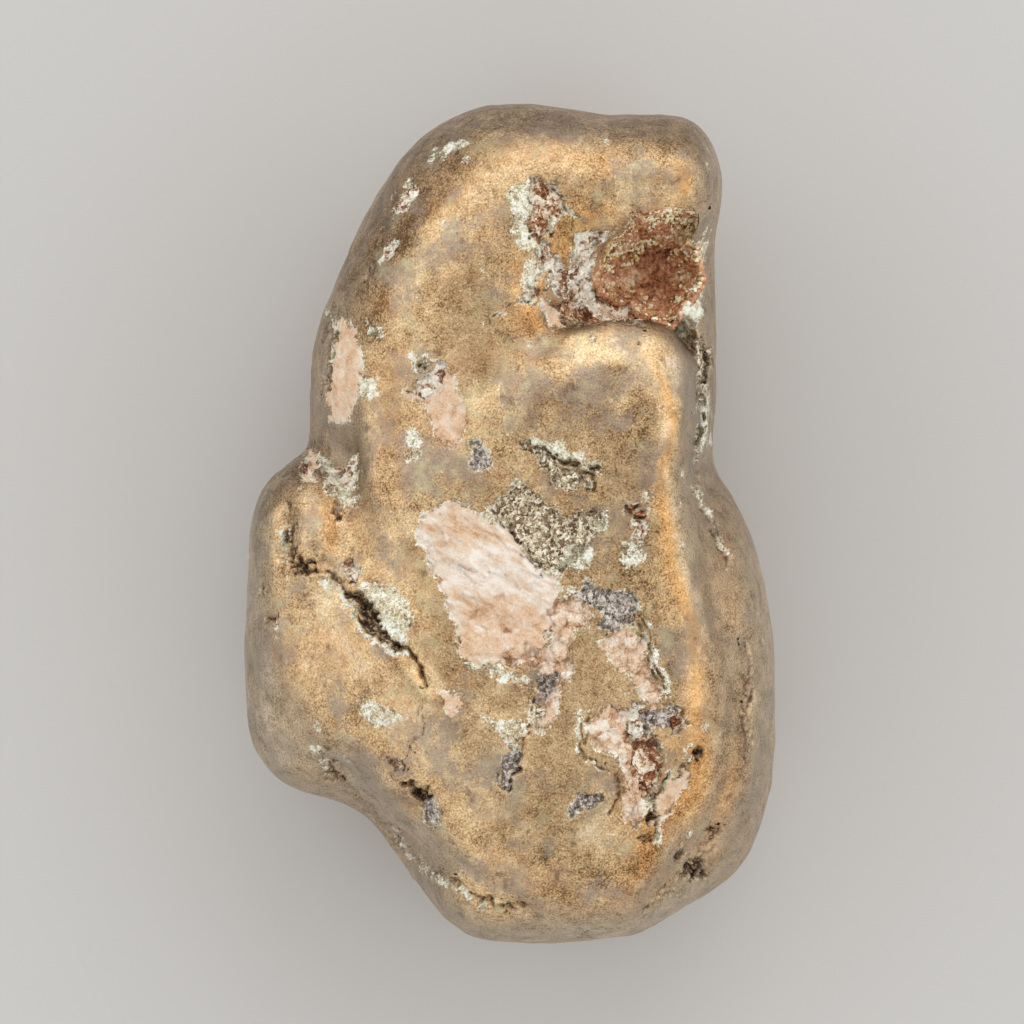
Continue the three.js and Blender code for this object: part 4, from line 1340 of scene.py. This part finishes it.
    crevice = weigh(tree, (crevice, 1.0), (fray, 1.6))
    crevice = add(tree, "MapRange", {0: crevice, 1: 0.3, 2: 0.9, 3: 0.0, 4: 0.5})
    colour = add(tree, "Mix", {0: crevice, 6: colour, 7: linear(CREVICE_TINT)}, 2, data_type="RGBA")

    # Facets: each cell and chip of an inlay leans its own way.
    surface = add(tree, "NewGeometry", out="Normal")
    for tone, most in ((cell_tone, 0.3), (chip_tone, 0.45)):
        off = add(tree, "VectorMath", {0: tone, 1: (0.5, 0.5, 0.5)}, operation="SUBTRACT")
        amount = add(tree, "Math", {0: facet, 1: most}, operation="MULTIPLY")
        leaning = add(tree, "VectorMath", {0: off, 3: amount}, operation="SCALE")
        surface = add(tree, "VectorMath", {0: surface, 1: leaning}, operation="ADD")
    surface = add(tree, "VectorMath", {0: surface}, operation="NORMALIZE")
    bump = add(
        tree, "Bump", {"Height": grain, "Distance": 0.08 * MM, "Strength": 0.9, "Normal": surface}
    )
    shader = add(tree, "BsdfPrincipled", {
        "Base Color": colour, "Metallic": metallic, "Roughness": gloss, "Normal": bump,
    })
    add(tree, "OutputMaterial", {"Surface": shader})
    return material


def rusty_crust():
    """Iron-stained crystal crust: dull, deep red brown, paler and more golden on the tips of its
    crystals where they crowd."""
    material, tree = new_material("rust_stained_crystal_crust")
    at = millimetres(tree)
    grain = add(tree, "TexNoise", {"Vector": at, "Scale": 1 / 0.3, "Detail": 4.0, "Roughness": 0.65})
    broad = add(tree, "TexNoise", {"Vector": at, "Scale": 1 / 1.6, "Detail": 3.0})
    base = add(tree, "ValToRGB", {0: weigh(tree, (grain, 0.6), (broad, 0.4))}, stops=(
        (0.36, "#54281A"), (0.44, "#A66842"), (0.53, "#D49A70"), (0.63, "#F6DABC"),
    ))
    tips = add(tree, "ValToRGB", {0: grain}, stops=(
        (0.36, "#A8885A"), (0.46, "#DCC894"), (0.57, "#FBF3D6"),
    ))
    tip = add(tree, "Attribute", out="Fac", attribute_name="tip")
    patchy = add(tree, "Math", {0: broad, 1: 1.6, 2: tip}, operation="MULTIPLY_ADD")
    share = add(tree, "MapRange", {0: patchy, 1: 1.36, 2: 1.62, 3: 0.0, 4: 0.85})
    colour = add(tree, "Mix", {0: share, 6: base, 7: tips}, 2, data_type="RGBA")
    bump = add(tree, "Bump", {"Height": grain, "Distance": 0.12 * MM, "Strength": 0.8})
    shader = add(tree, "BsdfPrincipled", {"Base Color": colour, "Roughness": 0.5, "Normal": bump})
    add(tree, "OutputMaterial", {"Surface": shader})
    return material


def golden_crystals():
    """Small, glossy, iron-stained crystals: golden cream faces that catch the light."""
    material, tree = new_material("golden_crystal_grains")
    each = add(tree, "Attribute", out="Fac", attribute_name="tone")
    fine = add(tree, "TexNoise", {"Vector": millimetres(tree), "Scale": 1 / 0.2, "Detail": 2.0})
    tone = add(tree, "Math", {0: fine, 1: 0.3, 2: each}, operation="MULTIPLY_ADD")
    colour = add(tree, "ValToRGB", {0: tone}, stops=(
        (0.1, "#8A5528"), (0.3, "#D8B26C"), (0.52, "#F8E8B2"), (0.8, "#FFFCE4"),
    ))
    shader = add(tree, "BsdfPrincipled", {"Base Color": colour, "Roughness": 0.3})
    add(tree, "OutputMaterial", {"Surface": shader})
    return material


def plain_floor(settings):
    """Matt painted board, pale and even, with a trace of tooth about a millimetre wide."""
    material, tree = new_material("matt_pale_board")
    place = add(tree, "TexCoord", out="Object")
    tooth = add(tree, "TexNoise", {"Vector": place, "Scale": 900.0})
    bump = add(tree, "Bump", {"Height": tooth, "Distance": 0.02 * MM, "Strength": 0.2})
    shader = add(tree, "BsdfPrincipled", {
        "Base Color": linear(settings.floor_colour), "Roughness": 0.85, "Normal": bump,
    })
    add(tree, "OutputMaterial", {"Surface": shader})
    return material


# ---------------------------------------------------------------- operators


class NUGGET_OT_body(bpy.types.Operator):
    """Builds the nugget: the metal with its calcite, ore, rust, cracks and holes."""

    bl_idname = "nugget.body"
    bl_label = "Nugget"

    def execute(self, context):
        settings = context.scene.nugget_form
        outward, quads = wrapped_grid(settings.divisions, settings.face_pull)
        points = lump_surface(outward)
        normals = lump_normals(points)
        fields = inlay_fields(points, settings.ragged / MM)
        fields.update(surface_lean(points, normals))
        inlaid = fields["inlaid"]
        pocket = smooth_step(-POCKET_EDGE, -0.05, inlaid) * (POCKET_DEPTH + fields["depth"])
        around = smooth_step(-0.6, 0.2, np.maximum(fields["crack"], fields["hole"]))
        pocket = np.maximum(pocket, CRACK_POCKET * around * (inlaid > -POCKET_EDGE))
        points = dress(points, normals, fields, settings, smooth_step(-0.2, -0.4, inlaid))
        shown = smooth_normals(points, quads)
        points = sink_cavity(points - normals * pocket[:, None])
        points[:, 2] = np.maximum(points[:, 2], 0)
        seen = {kind: fields[kind] for kind in SEEN}
        piece = new_mesh("nugget_body", points, quads, seen, shown)
        piece.data.materials.append(polished_domeykite(context.scene.nugget_finish))
        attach(piece, "root")
        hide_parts("nugget")
        return {"FINISHED"}


class NUGGET_OT_inlays(bpy.types.Operator):
    """Lays the inlays, cracks and holes of the face on a finer grid than the rest of the nugget."""

    bl_idname = "nugget.inlays"
    bl_label = "Inlays"

    def execute(self, context):
        settings = context.scene.nugget_form
        x = np.arange(-WIDTH / 2, WIDTH / 2, settings.fine_grid / MM)
        y = np.arange(-LENGTH / 2, LENGTH / 2, settings.fine_grid / MM)
        grid = np.stack(np.meshgrid(x, y, indexing="ij"), axis=-1).reshape(-1, 2)
        near = np.flatnonzero(near_inlays(grid))
        points = drop_to_lump(grid[near])
        on_face = (points[:, 2] > LAID_OPEN_FROM_TO[0]) & (rim_distance(points) > -0.5)
        near, points = near[on_face], points[on_face]
        normals = lump_normals(points)
        fields = inlay_fields(points, settings.ragged / MM)
        fields.update(surface_lean(points, normals))
        number = np.full(len(grid), -1)
        number[near] = np.arange(len(near))
        number = number.reshape(len(x), len(y))
        quads = np.stack((number[:-1, :-1], number[1:, :-1], number[1:, 1:], number[:-1, 1:]), axis=-1)
        quads = quads.reshape(-1, 4)
        quads = quads[(quads >= 0).all(axis=1)]
        top = dress(points, normals, fields, settings)
        shown = smooth_normals(top, quads)
        lift = SHEET_LIFT * smooth_step(-SHEET_EDGE, -POCKET_EDGE, fields["inlaid"]) - SHEET_SUNK
        top = sink_cavity(top + normals * lift[:, None])
        quads = quads[(fields["inlaid"][quads] > -SHEET_EDGE).all(axis=1)]
        # The back lies straight under the front, but on upright flanks it lies inwards of it.
        upright = smooth_step(0.5, 0.8, 1 - normals[:, 2])[:, None]
        back = top - SHEET_DEPTH * (upright * normals + (1 - upright) * (0, 0, 1))
        upper = top[quads[:, 0], 1] > SHEET_PARTING
        for name, part in (("nugget_inlays_upper", quads[upper]), ("nugget_inlays_lower", quads[~upper])):
            used, part = np.unique(part, return_inverse=True)
            seen = {kind: np.tile(fields[kind][used], 2) for kind in SEEN}
            vertices, faces = closed_sheet(top[used], back[used], part.reshape(-1, 4))
            turned = np.vstack((shown[used], -shown[used]))
            piece = new_mesh(name, vertices, faces, seen, turned)
            piece.data.materials.append(bpy.data.objects["nugget_body"].data.materials[0])
            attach(piece, "root")
        return {"FINISHED"}


def near_inlays(points):
    """Whether each point lies in an inlay, a crack or a hole, or little more than the sheet's edge
    away from one."""
    reach = np.max([nearest_outline(points, outlines) for outlines in OUTLINES.values()], axis=0)
    for line, *_ in (*CRACKS.values(), *RIMS.values()):
        reach = np.maximum(reach, 0.3 - line_distance(points, line))
    for middle, radius, _ in HOLES.values():
        reach = np.maximum(reach, radius - np.linalg.norm(points - middle, axis=1))
    return reach > -1.3


def closed_sheet(front, back, quads):
    """A sheet's vertices and quads: those of its front, the same of its back turned over, and a
    wall between them along each edge that only one quad has."""
    count = len(front)
    edges = np.concatenate([quads[:, (i, (i + 1) % 4)] for i in range(4)])
    key = np.sort(edges, axis=1) @ (1, 4 * count)
    _, first, times = np.unique(key, return_index=True, return_counts=True)
    start, end = edges[first[times == 1]].T
    walls = np.stack((end, start, start + count, end + count), axis=1)
    return np.vstack((front, back)), np.concatenate((quads, quads[:, ::-1] + count, walls))


def round_grid(divisions):
    """A square grid wrapped on a disc, so that it has no pole: each square ring of the grid becomes
    a circle. Gives each point's angle and share of the radius, and the quads."""
    line = np.linspace(-1, 1, divisions + 1)
    u, v = (g.ravel() for g in np.meshgrid(line, line, indexing="ij"))
    share = np.maximum(np.abs(u), np.abs(v))
    wide = np.abs(u) >= np.abs(v)
    with np.errstate(divide="ignore", invalid="ignore"):
        quarter = np.nan_to_num(np.where(wide, v / u, -u / v))
    start = np.where(wide, np.where(u < 0, math.pi, 0), np.where(v < 0, -1, 1) * math.pi / 2)
    return quarter * math.pi / 4 + start, share, grid_quads(divisions)


class NUGGET_OT_crust(bpy.types.Operator):
    """Builds the crust that lines the cavity, up to its rim."""

    bl_idname = "nugget.crust"
    bl_label = "Cavity crust"

    def execute(self, context):
        settings = context.scene.nugget_crust
        angle, share, quads = round_grid(settings.divisions)
        wall = cavity_bowl(angle, share)
        grain = settings.grain / MM
        near, _, _, facet = grains(wall, grain, 81)
        _, _, _, plate = grains(wall, 1.3, 83)
        lumps = fractal_noise(wall, 1.7, 82)
        crowd = crystal_crowd(wall)
        into = np.array([*CAVITY_MIDDLE, CAVITY_FLOOR + GROW_TO]) - wall
        into /= np.linalg.norm(into, axis=1)[:, None]
        height = 0.4 * lumps + 0.3 * plate + grain * (0.12 + 0.4 * crowd) * (facet + 0.6 - near)
        front = wall + into * (height * smooth_step(1.02, 0.92, share))[:, None]
        back = wall - into * (settings.thickness / MM)
        tip = crowd * (0.4 + 0.6 * smooth_step(0.5, 0.1, near))
        vertices, faces = closed_sheet(front, back, quads)
        piece = new_mesh("cavity_lining", vertices, faces, {"tip": np.tile(tip, 2)})
        piece.data.materials.append(rusty_crust())
        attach(piece, "root")
        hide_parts("cavity_crust")
        return {"FINISHED"}


def crystal_crowd(points):
    """Where crystals crowd on the crust, 0 to 1: over its upper half, down its right side and in
    clusters of noise elsewhere."""
    away = (points[:, :2] - CAVITY_MIDDLE) / CAVITY_RADIUS
    lean = 0.75 * away[:, 1] + 0.4 * away[:, 0]
    return smooth_step(-0.1, 0.7, lean + 0.7 * fractal_noise(points, 1.5, 93))


class NUGGET_OT_crystals(bpy.types.Operator):
    """Sets small golden crystals on the cavity's lining, joined in one mesh."""

    bl_idname = "nugget.crystals"
    bl_label = "Cavity crystals"

    def execute(self, context):
        settings = context.scene.nugget_crust
        random = np.random.default_rng(7)
        count = settings.crystals
        angle = random.uniform(-math.pi, math.pi, count)
        rise = np.sqrt(random.uniform(0.05, 0.97, count))
        sites = cavity_bowl(angle, rise)
        sites = sites[random.uniform(0, 1, count) < 0.12 + 0.6 * crystal_crowd(sites)]
        count = len(sites)
        corners, faces = crystal_form()
        size = random.uniform(0.5, 1.0, (count, 1, 1)) ** 1.5 * settings.grain / MM * CRYSTAL_SIZE
        shape = corners * random.uniform(0.7, 1.25, (count, 1, 3)) * size
        turned = np.einsum("nij,nkj->nki", random_turns(random, count), shape)
        vertices = (turned + sites[:, None, :]).reshape(-1, 3)
        all_faces = (faces + (np.arange(count) * len(corners))[:, None, None]).reshape(-1, 3)
        tone = np.repeat(random.uniform(-0.1, 0.8, count), len(corners))
        piece = new_mesh("cavity_crystals", vertices, all_faces, {"tone": tone})
        piece.data.polygons.foreach_set("use_smooth", np.zeros(len(all_faces), bool))
        piece.data.materials.append(golden_crystals())
        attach(piece, "root")
        return {"FINISHED"}


def crystal_form():
    """A cube's eight corners, drawn in, and a pole over each of its sides, as 24 faces."""
    signs = np.array([(x, y, z) for x in (-1, 1) for y in (-1, 1) for z in (-1, 1)])
    poles = np.vstack((np.eye(3), -np.eye(3))) * 1.1
    corners = np.vstack((signs * 0.72, poles))
    faces = []
    for pole in range(6):
        axis = pole % 3
        side = 1 if pole < 3 else -1
        ring = [i for i in range(8) if signs[i][axis] == side]
        others = [a for a in range(3) if a != axis]
        ring.sort(key=lambda i: math.atan2(signs[i][others[1]], signs[i][others[0]]))
        flip = side * (-1 if axis == 1 else 1)
        for a, b in zip(ring, ring[1:] + ring[:1]):
            faces.append((8 + pole, a, b) if flip > 0 else (8 + pole, b, a))
    return corners, np.array(faces)


def random_turns(random, count):
    """Rotation matrices from random unit quaternions."""
    quaternions = random.normal(size=(4, count))
    w, x, y, z = quaternions / np.linalg.norm(quaternions, axis=0)
    return np.stack([
        1 - 2 * (y * y + z * z), 2 * (x * y - z * w), 2 * (x * z + y * w),
        2 * (x * y + z * w), 1 - 2 * (x * x + z * z), 2 * (y * z - x * w),
        2 * (x * z - y * w), 2 * (y * z + x * w), 1 - 2 * (x * x + y * y),
    ], axis=1).reshape(-1, 3, 3)


class NUGGET_OT_stage(bpy.types.Operator):
    """Sets the floor, the light and the camera."""

    bl_idname = "nugget.stage"
    bl_label = "Stage"

    def execute(self, context):
        settings = context.scene.nugget_stage
        half = settings.floor_size / 2 / MM
        corners = np.array([(-half, -half, 0), (half, -half, 0), (half, half, 0), (-half, half, 0)])
        floor = new_mesh("floor", corners, np.array([(0, 1, 2, 3)]))
        floor.data.materials.append(plain_floor(settings))

        camera_data = bpy.data.cameras.new("camera")
        camera_data.lens = settings.lens
        camera_data.sensor_width = SENSOR_WIDTH
        camera_data.clip_end = 20
        camera = bpy.data.objects.new("camera", camera_data)
        distance = settings.view_width * settings.lens / SENSOR_WIDTH
        camera.location = np.add(VIEW_MIDDLE, (0, 0, distance))
        context.scene.collection.objects.link(camera)
        context.scene.camera = camera

        light_data = bpy.data.lights.new("softbox", "AREA")
        light_data.size = settings.softbox_size
        light_data.energy = settings.softbox_power
        softbox = bpy.data.objects.new("softbox", light_data)
        softbox.location = SOFTBOX_PLACE
        x, y, z = SOFTBOX_PLACE - np.mean(CAD_BOX, axis=0)
        softbox.rotation_euler = (math.atan2(math.hypot(x, y), z), 0, math.atan2(x, -y))
        context.scene.collection.objects.link(softbox)

        # White walls all round over a grey floor, a greyer ceiling, and more light towards +Y.
        world = bpy.data.worlds.new("soft_studio")
        context.scene.world = world
        world.use_nodes = True
        tree = world.node_tree
        tree.nodes.clear()
        direction = add(tree, "TexCoord", out="Generated")
        height = add(tree, "SeparateXYZ", {0: direction}, "Z")
        along = height.node.outputs["Y"]
        ring = add(tree, "ValToRGB", {0: height}, stops=(
            (0.0, "#A0A0A1"), (0.13, "#DADADA"), (0.28, "#FFFFFF"), (0.5, "#FFFFFF"),
            (0.72, "#B4B4B4"), (0.88, "#9C9C9C"), (1.0, "#969696"),
        ))
        strength = add(
            tree, "Math", {0: along, 1: 0.25, 2: settings.world_light}, operation="MULTIPLY_ADD"
        )
        glow = add(tree, "Background", {0: ring, 1: strength})
        add(tree, "OutputWorld", {0: glow}).is_active_output = True
        context.scene.view_settings.view_transform = "Standard"
        return {"FINISHED"}


class NUGGET_PT_panel(bpy.types.Panel):
    """Lists the pieces of the nugget and their settings."""

    bl_idname = "NUGGET_PT_panel"
    bl_label = "Domeykite nugget"
    bl_space_type = "VIEW_3D"
    bl_region_type = "UI"
    bl_category = "Nugget"

    def draw(self, context):
        for kind in OPERATORS:
            self.layout.operator(kind.bl_idname)
        for group in SETTINGS:
            box = self.layout.box()
            for key in SETTINGS[group].__annotations__:
                box.prop(getattr(context.scene, group), key)


OPERATORS = (
    NUGGET_OT_stage, NUGGET_OT_body, NUGGET_OT_inlays, NUGGET_OT_crust, NUGGET_OT_crystals,
)
SETTINGS = {
    "nugget_form": NuggetSettings,
    "nugget_finish": MetalSettings,
    "nugget_crust": CrustSettings,
    "nugget_stage": StageSettings,
}


def register():
    for kind in (*SETTINGS.values(), *OPERATORS, NUGGET_PT_panel):
        bpy.utils.register_class(kind)
    for name, kind in SETTINGS.items():
        setattr(bpy.types.Scene, name, bpy.props.PointerProperty(type=kind))


def unregister():
    for name in SETTINGS:
        delattr(bpy.types.Scene, name)
    for kind in (NUGGET_PT_panel, *reversed(OPERATORS), *reversed(SETTINGS.values())):
        bpy.utils.unregister_class(kind)


def main():
    """Builds everything in order."""
    register()
    bpy.ops.nugget.stage()
    bpy.ops.nugget.body()
    bpy.ops.nugget.inlays()
    bpy.ops.nugget.crust()
    bpy.ops.nugget.crystals()


if __name__ == "__main__":
    main()
